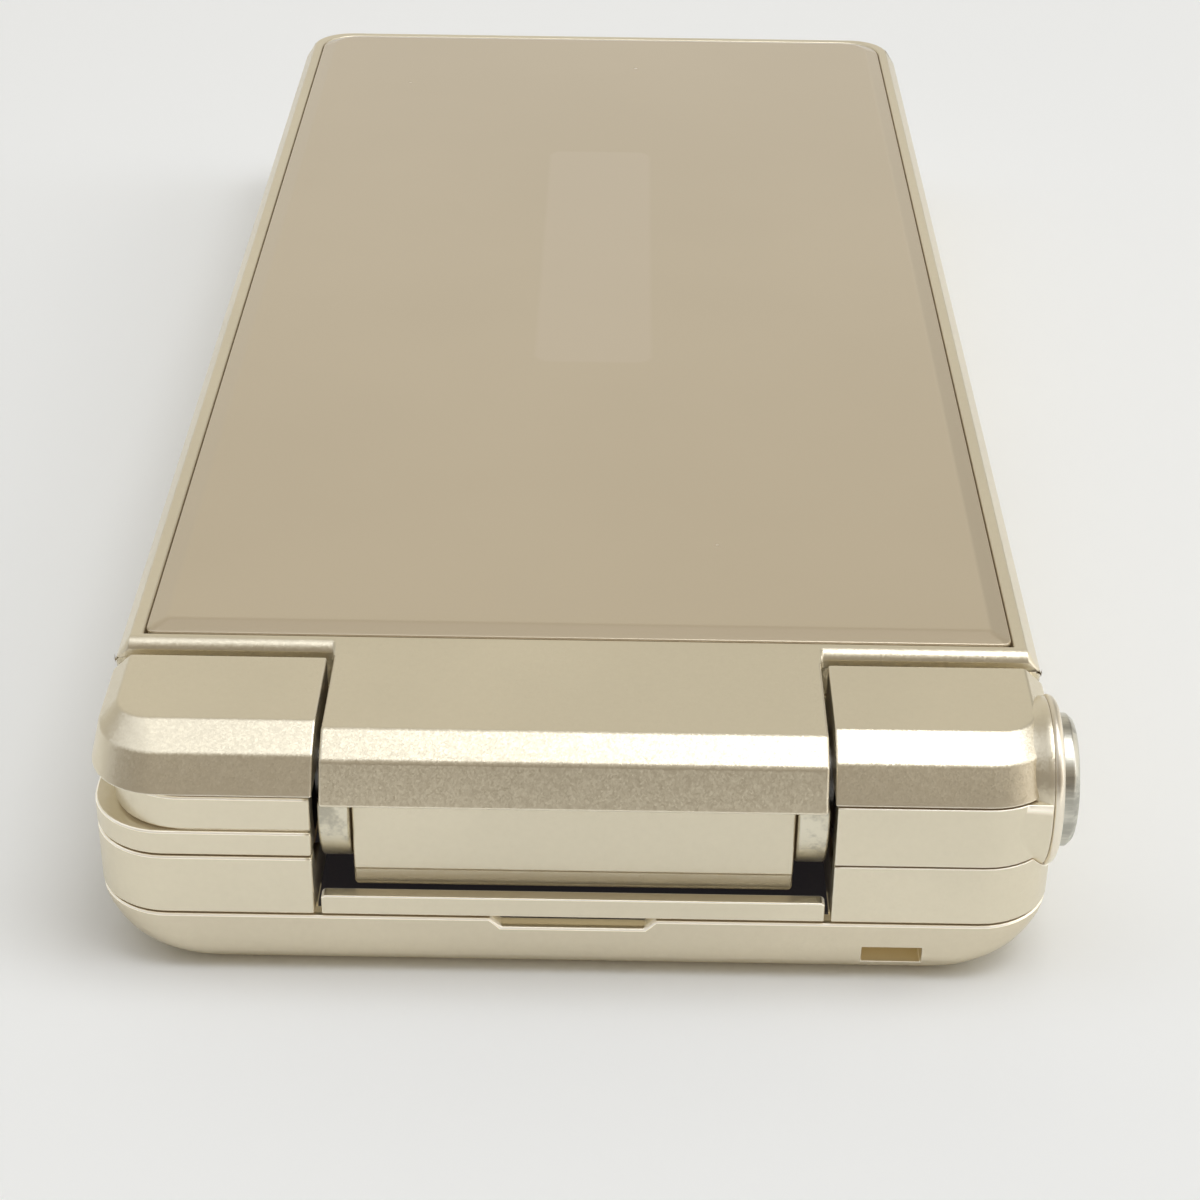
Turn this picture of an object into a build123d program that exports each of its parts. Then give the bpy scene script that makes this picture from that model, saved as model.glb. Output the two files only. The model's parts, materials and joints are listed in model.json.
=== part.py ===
"""A closed flip phone with a one-push hinge, as an assembly of separate pieces.

Millimetres. The origin is the centre of the underside, +Z is up, -Y is the hinge end,
and +X is the side with the push button.
"""

import os

from build123d import *

os.makedirs("parts", exist_ok=True)

# %% Driving dimensions of the outside
length = 112.0
width = 51.0
corner_radius = 4.0
cover_height = 3.7
rear_band_height = 3.65
deck_thickness = 1.5
lid_inner_height = 1.5
lid_outer_height = 3.2
panel_rise = 0.3

# Gaps between pieces, and the running clearance of the hinge
parting_gap = 0.1
waist_gap = 0.25
fit = 0.15
snug = 0.05
running = 0.05

# Walls
cover_wall = 1.0
cover_floor = 1.0
case_wall = 1.2
skirt_wall = 1.0
skirt_depth = 0.8
web_thickness = 0.5

# Stack between the deck and the web, from the top down
key_flange_thickness = 0.2
key_travel = 0.25
dome_height = 0.15
dome_sheet_thickness = 0.15
board_thickness = 0.7

# Hinge
axis_setback = 4.9
axis_above_lid_bottom = 0.6
side_knuckle_width = 11.85
knuckle_side_gap = 0.5
lid_scoop_radius = 6.4
block_radius = 6.15
recess_gap = 0.25

# %% Heights and ends that follow from them
half_width = width / 2
hinge_end = -length / 2
free_end = length / 2
rear_bottom = cover_height + parting_gap
rear_top = rear_bottom + rear_band_height
deck_bottom = rear_top + parting_gap
deck_top = deck_bottom + deck_thickness
lid_bottom = deck_top + waist_gap
lid_inner_top = lid_bottom + lid_inner_height
lid_outer_bottom = lid_inner_top + parting_gap
rim_top = lid_outer_bottom + lid_outer_height
panel_top = rim_top + panel_rise

flange_top = deck_bottom - snug
flange_bottom = flange_top - key_flange_thickness
dome_top = flange_bottom - key_travel - snug
dome_sheet_top = dome_top - dome_height
board_top = dome_sheet_top - dome_sheet_thickness
board_bottom = board_top - board_thickness
web_top = board_bottom
web_bottom = web_top - web_thickness

axis_y = hinge_end + axis_setback
axis_z = lid_bottom + axis_above_lid_bottom
recess_radius = block_radius + recess_gap
side_knuckle_inner = half_width - side_knuckle_width
knuckle_half_width = side_knuckle_inner - knuckle_side_gap
recess_back = axis_y + (recess_radius**2 - (axis_z - deck_top) ** 2) ** 0.5


# %% Helpers: each adds to, or cuts from, the part being built
def slab(x_low, x_high, y_low, y_high, z_low, z_high, radius=0, mode=Mode.ADD):
    """A block with upright rounded corners between two heights."""
    with BuildSketch(Plane.XY.offset(z_low)) as outline:
        with Locations(((x_low + x_high) / 2, (y_low + y_high) / 2)):
            if radius > 0:
                RectangleRounded(x_high - x_low, y_high - y_low, radius)
            else:
                Rectangle(x_high - x_low, y_high - y_low)
    extrude(outline.sketch, amount=z_high - z_low, mode=mode)


def plan(inset, z_low, z_high, mode=Mode.ADD):
    """The phone's own outline, drawn in by an inset, between two heights."""
    slab(
        -half_width + inset, half_width - inset, hinge_end + inset, free_end - inset,
        z_low, z_high, corner_radius - inset, mode,
    )


def outline_at(height, side_inset, end_inset, radius):
    """The phone's rounded outline at a height, drawn in at the sides and the ends."""
    with BuildSketch(Plane.XY.offset(height)) as outline:
        RectangleRounded(width - 2 * side_inset, length - 2 * end_inset, radius)
    return outline.sketch


def narrowing(inset, z_low, z_high, slope, mode=Mode.ADD):
    """The phone's outline between two heights, with its bottom edge bevelled."""
    low = outline_at(z_low, inset + slope, inset + slope, corner_radius - inset / 2 - slope)
    high = outline_at(z_low + slope, inset, inset, corner_radius - inset)
    loft([low, high], ruled=True, mode=mode)
    plan(inset, z_low + slope, z_high, mode)


def post(x, y, radius, z_low, z_high, mode=Mode.ADD):
    """An upright round post or hole."""
    with BuildSketch(Plane.XY.offset(z_low)) as outline:
        with Locations((x, y)):
            Circle(radius)
    extrude(outline.sketch, amount=z_high - z_low, mode=mode)


def rod(y, z, radius, x_low, x_high, mode=Mode.ADD):
    """A round rod or bore along X."""
    with BuildSketch(Plane.YZ.offset(x_low)) as outline:
        with Locations((y, z)):
            Circle(radius)
    extrude(outline.sketch, amount=x_high - x_low, mode=mode)


def profile(points, x_low, x_high, mode=Mode.ADD):
    """A prism along X with its outline given as (y, z) points."""
    with BuildSketch(Plane.YZ.offset(x_low)) as outline:
        with BuildLine():
            Polyline(*points, close=True)
        make_face()
    extrude(outline.sketch, amount=x_high - x_low, mode=mode)


def save(piece, name):
    """Label a finished piece and write its STEP file."""
    piece.part.label = name
    export_step(piece.part, f"parts/{name}.step")


# %% Battery cover: the whole bottom shell, with a nail notch and a strap hole
cover_side_reach = 4.4
cover_side_ease = 1.5
cover_end_reach = 2.0
cover_end_rise = 2.0
cover_end_ease = 2.0
cover_facet_heights = (3.0, 2.3, 1.7, 1.2, 0.75, 0.4, 0.15, 0)
floor_bevel = 1.4
notch_half_width = 4.4
notch_half_width_inside = 3.85
notch_depth = 0.55
strap_hole_offset = 3.35
strap_hole_width = 3.2
strap_hole_height = 1.1
strap_hole_bottom = 1.1
camera_side_setback = 13.5
camera_setback = 18.5
camera_window_radius = 3.6
camera_window_thickness = 0.6
camera_window_recess = 0.25
speaker_side_setback = 16.5
speaker_setback = 13.0
sound_slot_length = 8.0
sound_slot_width = 0.8
sound_slot_pitch = 2.0

strap_hole_x = side_knuckle_inner + strap_hole_offset
camera_x = half_width - camera_side_setback
camera_y = hinge_end + camera_setback
speaker_x = speaker_side_setback - half_width
speaker_y = free_end - speaker_setback


def drawn_in(height, reach, rise, ease):
    """How far the cover's outline draws in at a height: a curve that starts upright at the rise."""
    fall = max(0.0, 1 - height / rise)
    return reach * (1 - (1 - fall**ease) ** 0.5)


def cover_outline(height):
    """The outside of the cover at a height: a wide curve at the sides, a tight one at the ends."""
    side = drawn_in(height, cover_side_reach, cover_height, cover_side_ease)
    end = drawn_in(height, cover_end_reach, cover_end_rise, cover_end_ease)
    return outline_at(height, side, end, corner_radius)


with BuildPart() as battery_cover:
    cover_heights = (cover_height, *cover_facet_heights)
    for upper, lower in zip(cover_heights, cover_heights[1:]):
        loft([cover_outline(lower), cover_outline(upper)], ruled=True)
    narrowing(cover_wall, cover_floor, cover_height, floor_bevel, Mode.SUBTRACT)
    with BuildSketch(Plane.XZ.offset(-hinge_end - 2 * cover_wall)) as notch:
        with BuildLine():
            Polyline(
                (-notch_half_width, cover_height + notch_depth),
                (-notch_half_width, cover_height),
                (-notch_half_width_inside, cover_height - notch_depth),
                (notch_half_width_inside, cover_height - notch_depth),
                (notch_half_width, cover_height),
                (notch_half_width, cover_height + notch_depth),
                close=True,
            )
        make_face()
    extrude(notch.sketch, amount=3 * cover_wall, mode=Mode.SUBTRACT)
    slab(
        strap_hole_x - strap_hole_width / 2, strap_hole_x + strap_hole_width / 2,
        hinge_end - cover_wall, hinge_end + cover_wall + floor_bevel,
        strap_hole_bottom, strap_hole_bottom + strap_hole_height, mode=Mode.SUBTRACT,
    )
    post(camera_x, camera_y, camera_window_radius + snug, -cover_floor, 2 * cover_floor, Mode.SUBTRACT)
    for row in (-1, 0, 1):
        slot_y = speaker_y + row * sound_slot_pitch
        slab(
            speaker_x - sound_slot_length / 2, speaker_x + sound_slot_length / 2,
            slot_y - sound_slot_width / 2, slot_y + sound_slot_width / 2,
            -cover_floor, 2 * cover_floor, sound_slot_width / 3, Mode.SUBTRACT,
        )
save(battery_cover, "battery_cover")

with BuildPart() as camera_window:
    post(
        camera_x, camera_y, camera_window_radius,
        camera_window_recess, camera_window_recess + camera_window_thickness,
    )
save(camera_window, "camera_window")

# %% Where the inner pieces of the base lie
battery_side_room = 8.5
battery_setback = 28.0
battery_far_room = 41.0
bay_wall = 1.0
inner_bottom = cover_floor + fit
inner_inset = cover_wall + fit
skirt_inset = case_wall + fit
board_inset = skirt_inset + skirt_wall + fit
battery_half_width = half_width - battery_side_room
battery_near = hinge_end + battery_setback
battery_far = free_end - battery_far_room
screw_side_setback = 5.2
screw_near_setback = 13.7
screw_far_setback = 6.0
screw_boss_radius = 1.8
screw_shank_radius = 0.7
screw_head_radius = 1.3
screw_head_height = 0.6
screw_boss_depth = 1.6
base_screw_places = [
    (side * (half_width - screw_side_setback), y)
    for side in (-1, 1)
    for y in (hinge_end + screw_near_setback, free_end - screw_far_setback)
]
camera_size = 8.6
speaker_length = 13.0
speaker_width = 8.6
speaker_height = 2.8
motor_side_setback = 7.5
motor_length = 9.0
motor_radius = 1.9
motor_x = motor_side_setback - half_width
motor_y = camera_y
port_setback = 38.0
port_y = hinge_end + port_setback
port_width = 7.4
port_depth = 5.0
port_height = 1.65
flap_length = 10.5
flap_height = 2.6
flap_thickness = 0.9
strap_post_setback = 2.8
strap_post_radius = 0.5
strap_pocket_half_width = 2.4
strap_pocket_depth = 4.2
side_key_length = 8.0
side_key_height = 1.8
side_key_setback = 58.0
side_key_y = hinge_end + side_key_setback
side_key_proud = 0.25
side_key_travel = 0.3
side_key_lip = 0.5
side_key_lip_thickness = 0.4
side_mid_z = (rear_bottom + rear_top) / 2

# %% Hinge unit sizes
unit_radius = 3.4
unit_bore_radius = unit_radius + snug
unit_wall = 0.6
shaft_radius = 1.6
barrel_radius = 4.6
barrel_thickness = 1.6
button_radius = 3.55
button_thickness = 1.77
button_edge_radius = 0.35
button_travel = 1.0
button_gap = 0.1
button_overtravel = 0.2
button_sink = 0.9
ring_radius = 4.53
ring_thickness = 0.56
ring_edge_radius = 0.3
ring_sink = 0.62
collar_depth = 3.5
collar_top_depth = 1.3
stem_radius = 0.9
pocket_wall = 1.0
ring_inner = half_width - ring_sink
ring_outer = ring_inner + ring_thickness
button_seat = half_width - button_sink
button_reach = button_seat + button_thickness
button_pocket_x = button_seat - button_travel - button_overtravel
unit_end = button_pocket_x - pocket_wall
collar_start = half_width - collar_depth
collar_top_start = half_width - collar_top_depth

# %% Knuckle shape of the base: three rounded outlines joined by facets
knuckle_depth = 9.4
cap_drop = 0.1
cap_top_facet = 0.95
cap_front_facet = 1.75
knuckle_back = hinge_end + knuckle_depth
cap_top = rim_top - cap_drop
cap_shoulder = cap_top - cap_top_facet
cap_bottom = cap_shoulder - cap_front_facet
cap_shoulder_front = 1.4
cap_top_front = 3.25
cap_shoulder_side = 0.35
cap_top_side = 1.35
cap_shoulder_radius = 3.5
cap_top_radius = 1.9
pedestal_top = cap_bottom - parting_gap
left_neck_inset = 1.1
shadow_line = 0.35


def cut_hinge_bores():
    """Cut the seats of the hinge unit, the left bush, the button and its ring."""
    rod(axis_y, axis_z, unit_bore_radius, -unit_end, -side_knuckle_inner, Mode.SUBTRACT)
    rod(axis_y, axis_z, unit_bore_radius, side_knuckle_inner, unit_end, Mode.SUBTRACT)
    rod(axis_y, axis_z, stem_radius + 2 * snug, unit_end, button_pocket_x, Mode.SUBTRACT)
    rod(axis_y, axis_z, button_radius + button_gap, button_pocket_x, half_width, Mode.SUBTRACT)
    rod(axis_y, axis_z, ring_radius + snug, ring_inner, half_width, Mode.SUBTRACT)


def knuckle_zone(side, z_low, z_high, mode):
    """Keep only what stands beside the centre knuckle on one side."""
    inner, outer = sorted((side * side_knuckle_inner, side * (half_width + 1)))
    slab(inner, outer, hinge_end - 1, knuckle_back, z_low, z_high, mode=mode)


def collar(x_low, z_low, z_high):
    """What lies between two heights of the round collar that carries the button's ring."""
    with BuildPart() as boss:
        rod(axis_y, axis_z, ring_radius, x_low, ring_inner - snug)
        slab(
            x_low, ring_inner, axis_y - ring_radius, axis_y + ring_radius,
            z_low, z_high, mode=Mode.INTERSECT,
        )
    add(boss.part)


def knuckle_cap(side):
    """The faceted cap over one side of the hinge; the right one carries the collar's upper half."""
    bottom = outline_at(cap_bottom, 0, 0, corner_radius)
    shoulder = outline_at(cap_shoulder, cap_shoulder_side, cap_shoulder_front, cap_shoulder_radius)
    top = outline_at(cap_top, cap_top_side, cap_top_front, cap_top_radius)
    with BuildPart() as cap:
        loft([bottom, shoulder], ruled=True)
        loft([shoulder, top], ruled=True)
        knuckle_zone(side, cap_bottom, cap_top, Mode.INTERSECT)
        if side > 0:
            collar(collar_start, cap_bottom, cap_shoulder)
            collar(collar_top_start, cap_bottom, axis_z + ring_radius)
        cut_hinge_bores()
    return cap


knuckle_cap_left = knuckle_cap(-1)
save(knuckle_cap_left, "knuckle_cap_left")
knuckle_cap_right = knuckle_cap(1)
save(knuckle_cap_right, "knuckle_cap_right")

# %% Rear case of the base: band, skirt inside the cover, web and bay walls
bar_height = 1.25
bar_thickness = 0.75
bar_overhang = 0.15
bar_end_radius = 0.25
bar_half_width = knuckle_half_width + bar_overhang
bar_foot_depth = 1.2
bar_foot_height = 0.35
bar_top = rear_bottom + bar_height
recess_front = hinge_end + bar_thickness
recess_floor = axis_z - recess_radius

with BuildPart() as base_rear_case:
    plan(0, rear_bottom, rear_top)
    narrowing(inner_inset, inner_bottom, rear_bottom, floor_bevel)
    plan(case_wall, web_top, rear_top, Mode.SUBTRACT)
    # hollow under the web, with walls left round the battery bay
    hollow_inset = inner_inset + skirt_wall
    hollow_near = recess_back + skirt_wall
    bay_near = battery_near - fit
    bay_far = battery_far + fit
    slab(
        -half_width + hollow_inset, half_width - hollow_inset, hollow_near, bay_near - bay_wall,
        inner_bottom, web_bottom, mode=Mode.SUBTRACT,
    )
    slab(
        -battery_half_width - fit, battery_half_width + fit, bay_near, bay_far,
        inner_bottom, web_bottom, mode=Mode.SUBTRACT,
    )
    slab(
        -half_width + hollow_inset, half_width - hollow_inset,
        bay_far + bay_wall, free_end - hollow_inset, inner_bottom, web_bottom,
        corner_radius - hollow_inset, Mode.SUBTRACT,
    )
    side_gap = half_width - hollow_inset - battery_half_width - fit - bay_wall
    for side in (-1, 1):
        gap_end = side * (half_width - hollow_inset)
        x_low, x_high = sorted((gap_end - side * side_gap, gap_end))
        slab(x_low, x_high, bay_near, bay_far, inner_bottom, web_bottom, mode=Mode.SUBTRACT)
    # recess for the lid's centre knuckle, open at the top
    slab(
        -side_knuckle_inner, side_knuckle_inner, recess_front, recess_back,
        recess_floor, rear_top, mode=Mode.SUBTRACT,
    )
    slab(
        -side_knuckle_inner, side_knuckle_inner, hinge_end - 1, recess_front,
        rear_bottom, rear_top, mode=Mode.SUBTRACT,
    )
    # material under the outer knuckles, hollowed for the strap pocket
    slab(
        strap_hole_x - strap_pocket_half_width, strap_hole_x + strap_pocket_half_width,
        hinge_end + inner_inset - snug, hinge_end + inner_inset + strap_pocket_depth,
        inner_bottom, web_bottom - bay_wall, mode=Mode.SUBTRACT,
    )
    post(strap_hole_x, hinge_end + strap_post_setback, strap_post_radius, inner_bottom, web_bottom)
    cut_hinge_bores()
    rod(axis_y, axis_z, ring_radius + snug, collar_start - snug, half_width, Mode.SUBTRACT)
    # pockets through the web for tall parts under the board
    slab(
        camera_x - camera_size / 2 - fit, camera_x + camera_size / 2 + fit,
        camera_y - camera_size / 2 - fit, camera_y + camera_size / 2 + fit,
        inner_bottom, web_top, mode=Mode.SUBTRACT,
    )
    slab(
        motor_x - fit, motor_x + motor_length + fit,
        motor_y - motor_radius - fit, motor_y + motor_radius + fit,
        web_bottom, web_top, mode=Mode.SUBTRACT,
    )
    slab(
        speaker_x - speaker_length / 2 - fit, speaker_x + speaker_length / 2 + fit,
        speaker_y - speaker_width / 2 - fit, speaker_y + speaker_width / 2 + fit,
        web_bottom, web_top, mode=Mode.SUBTRACT,
    )
    # charging port, its flap's seat, and the side key
    slab(
        -half_width, -half_width + flap_thickness + case_wall + port_depth + fit,
        port_y - port_width / 2 - fit, port_y + port_width / 2 + fit,
        web_top - port_height - fit, web_top, mode=Mode.SUBTRACT,
    )
    slab(
        -half_width - 1, -half_width + flap_thickness + snug,
        port_y - flap_length / 2 - fit, port_y + flap_length / 2 + fit,
        side_mid_z - flap_height / 2 - fit, side_mid_z + flap_height / 2 + fit, mode=Mode.SUBTRACT,
    )
    side_key_pocket = half_width - case_wall - side_key_travel - side_key_lip_thickness - 2 * fit
    slab(
        side_key_pocket, half_width + 1,
        side_key_y - side_key_length / 2 - fit, side_key_y + side_key_length / 2 + fit,
        side_mid_z - side_key_height / 2 - fit, side_mid_z + side_key_height / 2 + fit, mode=Mode.SUBTRACT,
    )
    slab(
        side_key_pocket, half_width - case_wall + snug,
        side_key_y - side_key_length / 2 - side_key_lip - fit,
        side_key_y + side_key_length / 2 + side_key_lip + fit,
        side_mid_z - side_key_height / 2 - fit, side_mid_z + side_key_height / 2 + fit, mode=Mode.SUBTRACT,
    )
    # bosses for the screws that hold the two cases together
    for x, y in base_screw_places:
        post(x, y, screw_boss_radius, web_bottom - screw_boss_depth, web_bottom)
        post(x, y, screw_shank_radius + snug, web_bottom - screw_boss_depth, web_top, Mode.SUBTRACT)
        post(
            x, y, screw_head_radius + snug,
            web_bottom - screw_boss_depth, web_bottom - screw_boss_depth + screw_head_height + snug,
            Mode.SUBTRACT,
        )
save(base_rear_case, "base_rear_case")

with BuildPart() as hinge_bar:
    slab(-bar_half_width, bar_half_width, hinge_end, recess_front, rear_bottom + snug, bar_top)
    fillet(hinge_bar.edges().filter_by(Axis.Y).group_by(Axis.Z)[-1], bar_end_radius)
    slab(
        -bar_half_width, bar_half_width, hinge_end + cover_wall + fit, recess_front + bar_foot_depth,
        recess_floor + snug, rear_bottom + bar_foot_height,
    )
    slab(
        -bar_half_width, bar_half_width, recess_front, recess_front + bar_foot_depth,
        rear_bottom + snug, rear_bottom + bar_foot_height,
    )
save(hinge_bar, "hinge_bar")

# %% Keys of the deck
key_gap = 0.15
key_proud = 0.05
key_lip = 0.45
key_radius = 1.2
deck_side_margin = 2.85
deck_chin = 15.5
column_gap = 1.3
row_gap = 1.7
command_key_height = 7.0
command_gap = 4.6
soft_key_height = 7.4
soft_key_margin = 3.5
soft_key_gap = 1.7
soft_row_step = 6.8
navigation_setback = 32.4
navigation_size = 21.0
navigation_radius = 6.0
select_radius = 4.2
navigation_bore = select_radius + 2 * key_gap

navigation_y = hinge_end + navigation_setback
command_row_y = navigation_y + navigation_size / 2 + command_gap + command_key_height / 2
dial_near = command_row_y + command_key_height / 2 + row_gap / 2
dial_pitch_x = (width - 2 * deck_side_margin) / 3
dial_pitch_y = (free_end - deck_chin - dial_near) / 4
dial_key_width = dial_pitch_x - column_gap
dial_key_height = dial_pitch_y - row_gap
dial_first_y = dial_near + dial_pitch_y / 2
soft_key_inner = navigation_size / 2 + soft_key_gap
soft_key_outer = half_width - soft_key_margin
soft_key_width = soft_key_outer - soft_key_inner
soft_key_x = (soft_key_inner + soft_key_outer) / 2
soft_key_rows = (navigation_y - soft_row_step, navigation_y + soft_row_step)

dial_names = [["1", "2", "3"], ["4", "5", "6"], ["7", "8", "9"], ["star", "0", "hash"]]
key_plates = {
    f"key_{name}": (
        (column - 1) * dial_pitch_x, dial_first_y + row * dial_pitch_y, dial_key_width, dial_key_height,
    )
    for row, names in enumerate(dial_names)
    for column, name in enumerate(names)
}
for column, name in enumerate(("call", "clear", "end")):
    key_plates[f"key_{name}"] = ((column - 1) * dial_pitch_x, command_row_y, dial_key_width, command_key_height)
for side, side_name in ((-1, "left"), (1, "right")):
    for row_y, row_name in zip(soft_key_rows, ("upper", "lower")):
        soft_name = f"key_soft_{side_name}_{row_name}"
        key_plates[soft_name] = (side * soft_key_x, row_y, soft_key_width, soft_key_height)


def plate(centre_x, centre_y, size_x, size_y, z_low, z_high, radius, mode=Mode.ADD):
    """A rounded plate given by its centre and size."""
    slab(
        centre_x - size_x / 2, centre_x + size_x / 2, centre_y - size_y / 2, centre_y + size_y / 2,
        z_low, z_high, radius, mode,
    )


key_top = deck_top + key_proud
for key_name, (key_x, key_y, key_width, key_height) in key_plates.items():
    with BuildPart() as key:
        plate(key_x, key_y, key_width, key_height, flange_bottom, key_top, key_radius)
        plate(
            key_x, key_y, key_width + 2 * key_lip, key_height + 2 * key_lip,
            flange_bottom, flange_top, key_radius,
        )
    save(key, key_name)

with BuildPart() as key_navigation_ring:
    plate(0, navigation_y, navigation_size, navigation_size, flange_bottom, key_top, navigation_radius)
    plate(
        0, navigation_y, navigation_size + 2 * key_lip, navigation_size + 2 * key_lip,
        flange_bottom, flange_top, navigation_radius,
    )
    post(0, navigation_y, navigation_bore, flange_bottom, key_top, Mode.SUBTRACT)
save(key_navigation_ring, "key_navigation_ring")

with BuildPart() as key_select:
    post(0, navigation_y, select_radius, flange_bottom, key_top)
save(key_select, "key_select")

# %% Front case of the base: deck, pedestals of the two outer knuckles, screw bosses
microphone_setback = 5.5
microphone_y = free_end - microphone_setback
microphone_hole_radius = 0.6
pilot_depth = 0.9


def pedestal(side, side_inset, end_inset, radius, z_low=deck_top):
    """What carries a knuckle cap, cut from a rounded outline beside the centre knuckle."""
    with BuildSketch(Plane.XY.offset(z_low)) as outline:
        RectangleRounded(width - 2 * side_inset, length - 2 * end_inset, radius)
        with Locations((side * (side_knuckle_inner + half_width) / 2, (hinge_end + knuckle_back) / 2)):
            Rectangle(half_width - side_knuckle_inner, knuckle_back - hinge_end, mode=Mode.INTERSECT)
    extrude(outline.sketch, amount=pedestal_top - z_low)


with BuildPart() as base_front_case:
    plan(0, deck_bottom, deck_top)
    # the right pedestal stands flush with the case, the left one on a drawn-in neck
    pedestal(1, 0, 0, corner_radius)
    pedestal(-1, left_neck_inset + shadow_line, shadow_line, corner_radius)
    pedestal(-1, left_neck_inset, snug, corner_radius, deck_top + parting_gap)
    # recess for the lid's centre knuckle
    slab(
        -side_knuckle_inner, side_knuckle_inner, hinge_end - 1, recess_back, deck_bottom, deck_top,
        mode=Mode.SUBTRACT,
    )
    # skirt that plugs into the rear case
    plan(skirt_inset, deck_bottom - skirt_depth, deck_bottom)
    plan(skirt_inset + skirt_wall, deck_bottom - skirt_depth, deck_bottom, Mode.SUBTRACT)
    slab(
        -side_knuckle_inner - skirt_wall, side_knuckle_inner + skirt_wall,
        hinge_end, recess_back + skirt_wall, web_top, deck_bottom, mode=Mode.SUBTRACT,
    )
    for x, y in base_screw_places:
        post(x, y, screw_boss_radius, web_top + snug, deck_bottom)
        post(x, y, screw_shank_radius + snug, web_top, deck_bottom + pilot_depth, Mode.SUBTRACT)
    collar(collar_start, axis_z - ring_radius, pedestal_top)
    cut_hinge_bores()
    # key openings and the microphone hole
    for key_x, key_y, key_width, key_height in key_plates.values():
        plate(
            key_x, key_y, key_width + 2 * key_gap, key_height + 2 * key_gap,
            deck_bottom, deck_top, key_radius + key_gap, Mode.SUBTRACT,
        )
    plate(
        0, navigation_y, navigation_size + 2 * key_gap, navigation_size + 2 * key_gap,
        deck_bottom, deck_top, navigation_radius + key_gap, Mode.SUBTRACT,
    )
    post(0, microphone_y, microphone_hole_radius, deck_bottom, deck_top, Mode.SUBTRACT)
save(base_front_case, "base_front_case")

# %% Boards and parts inside the base
board_half_width = half_width - board_inset
board_near = recess_back + 2 * skirt_wall + fit
board_far = free_end - board_inset
board_corner = 1.0
microphone_radius = 1.8

with BuildPart() as main_circuit_board:
    slab(
        -board_half_width, board_half_width, board_near, board_far,
        board_bottom, board_top, corner_radius - board_inset,
    )
    for x, y in base_screw_places:
        post(x, y, screw_boss_radius + fit, board_bottom, board_top, Mode.SUBTRACT)
    post(0, microphone_y, microphone_radius, board_top, deck_bottom - snug)
save(main_circuit_board, "main_circuit_board")

dome_radius = 1.9
dome_sheet_margin = 1.0
dome_sheet_half_width = board_half_width - dome_sheet_margin
dome_sheet_near = navigation_y - navigation_size / 2 - dome_sheet_margin
dome_sheet_far = dial_first_y + 3 * dial_pitch_y + dial_key_height / 2
navigation_dome_reach = 7.6

with BuildPart() as key_dome_sheet:
    slab(
        -dome_sheet_half_width, dome_sheet_half_width, dome_sheet_near, dome_sheet_far,
        board_top, dome_sheet_top,
    )
    for key_x, key_y, _, _ in key_plates.values():
        post(key_x, key_y, dome_radius, dome_sheet_top, dome_top)
    for step_x, step_y in ((0, 0), (1, 0), (-1, 0), (0, 1), (0, -1)):
        post(
            step_x * navigation_dome_reach, navigation_y + step_y * navigation_dome_reach,
            dome_radius, dome_sheet_top, dome_top,
        )
save(key_dome_sheet, "key_dome_sheet")

with BuildPart() as battery:
    slab(
        -battery_half_width, battery_half_width, battery_near, battery_far,
        inner_bottom, web_bottom - fit, board_corner,
    )
save(battery, "battery")

connector_half_width = 4.0
connector_depth = 2.2
connector_height = 2.6

with BuildPart() as battery_connector:
    slab(
        -connector_half_width, connector_half_width,
        bay_far + bay_wall + snug, bay_far + bay_wall + connector_depth,
        web_bottom - connector_height, web_bottom,
    )
save(battery_connector, "battery_connector")

with BuildPart() as camera_module:
    plate(camera_x, camera_y, camera_size, camera_size, inner_bottom, board_bottom - snug, 0)
    post(camera_x, camera_y, camera_window_radius - 2 * fit, camera_window_recess
         + camera_window_thickness + snug, inner_bottom)
save(camera_module, "camera_module")

with BuildPart() as loudspeaker:
    plate(
        speaker_x, speaker_y, speaker_length, speaker_width,
        board_bottom - speaker_height, board_bottom - snug, board_corner,
    )
save(loudspeaker, "loudspeaker")

with BuildPart() as vibration_motor:
    rod(motor_y, board_bottom - snug - motor_radius, motor_radius, motor_x, motor_x + motor_length)
save(vibration_motor, "vibration_motor")

with BuildPart() as charging_connector:
    slab(
        -half_width + flap_thickness + fit, -half_width + flap_thickness + case_wall + port_depth,
        port_y - port_width / 2, port_y + port_width / 2, web_top - port_height, web_top - snug,
    )
    slab(
        -half_width + flap_thickness, -half_width + flap_thickness + port_depth,
        port_y - port_width / 2 + case_wall / 3, port_y + port_width / 2 - case_wall / 3,
        web_top - port_height + case_wall / 3, web_top - snug - case_wall / 3, mode=Mode.SUBTRACT,
    )
save(charging_connector, "charging_connector")

antenna_side_room = 8.5
antenna_depth = 3.6
antenna_height = 3.0
socket_height = 1.5
sim_size = (15.0, 17.0)
socket_setback = 28.5
socket_y = free_end - socket_setback
sim_x = camera_x
antenna_half_length = half_width - antenna_side_room

with BuildPart() as antenna:
    slab(
        -antenna_half_length, antenna_half_length,
        free_end - hollow_inset - snug - antenna_depth, free_end - hollow_inset - snug,
        web_bottom - antenna_height, web_bottom,
    )
save(antenna, "antenna")

with BuildPart() as sim_card_socket:
    plate(sim_x, socket_y, *sim_size, web_bottom - socket_height, web_bottom, 0)
save(sim_card_socket, "sim_card_socket")

with BuildPart() as base_screws:
    for x, y in base_screw_places:
        head_low = web_bottom - screw_boss_depth
        post(x, y, screw_head_radius, head_low, head_low + screw_head_height)
        post(x, y, screw_shank_radius, head_low + screw_head_height, deck_bottom + pilot_depth - snug)
save(base_screws, "base_screws")

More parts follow.
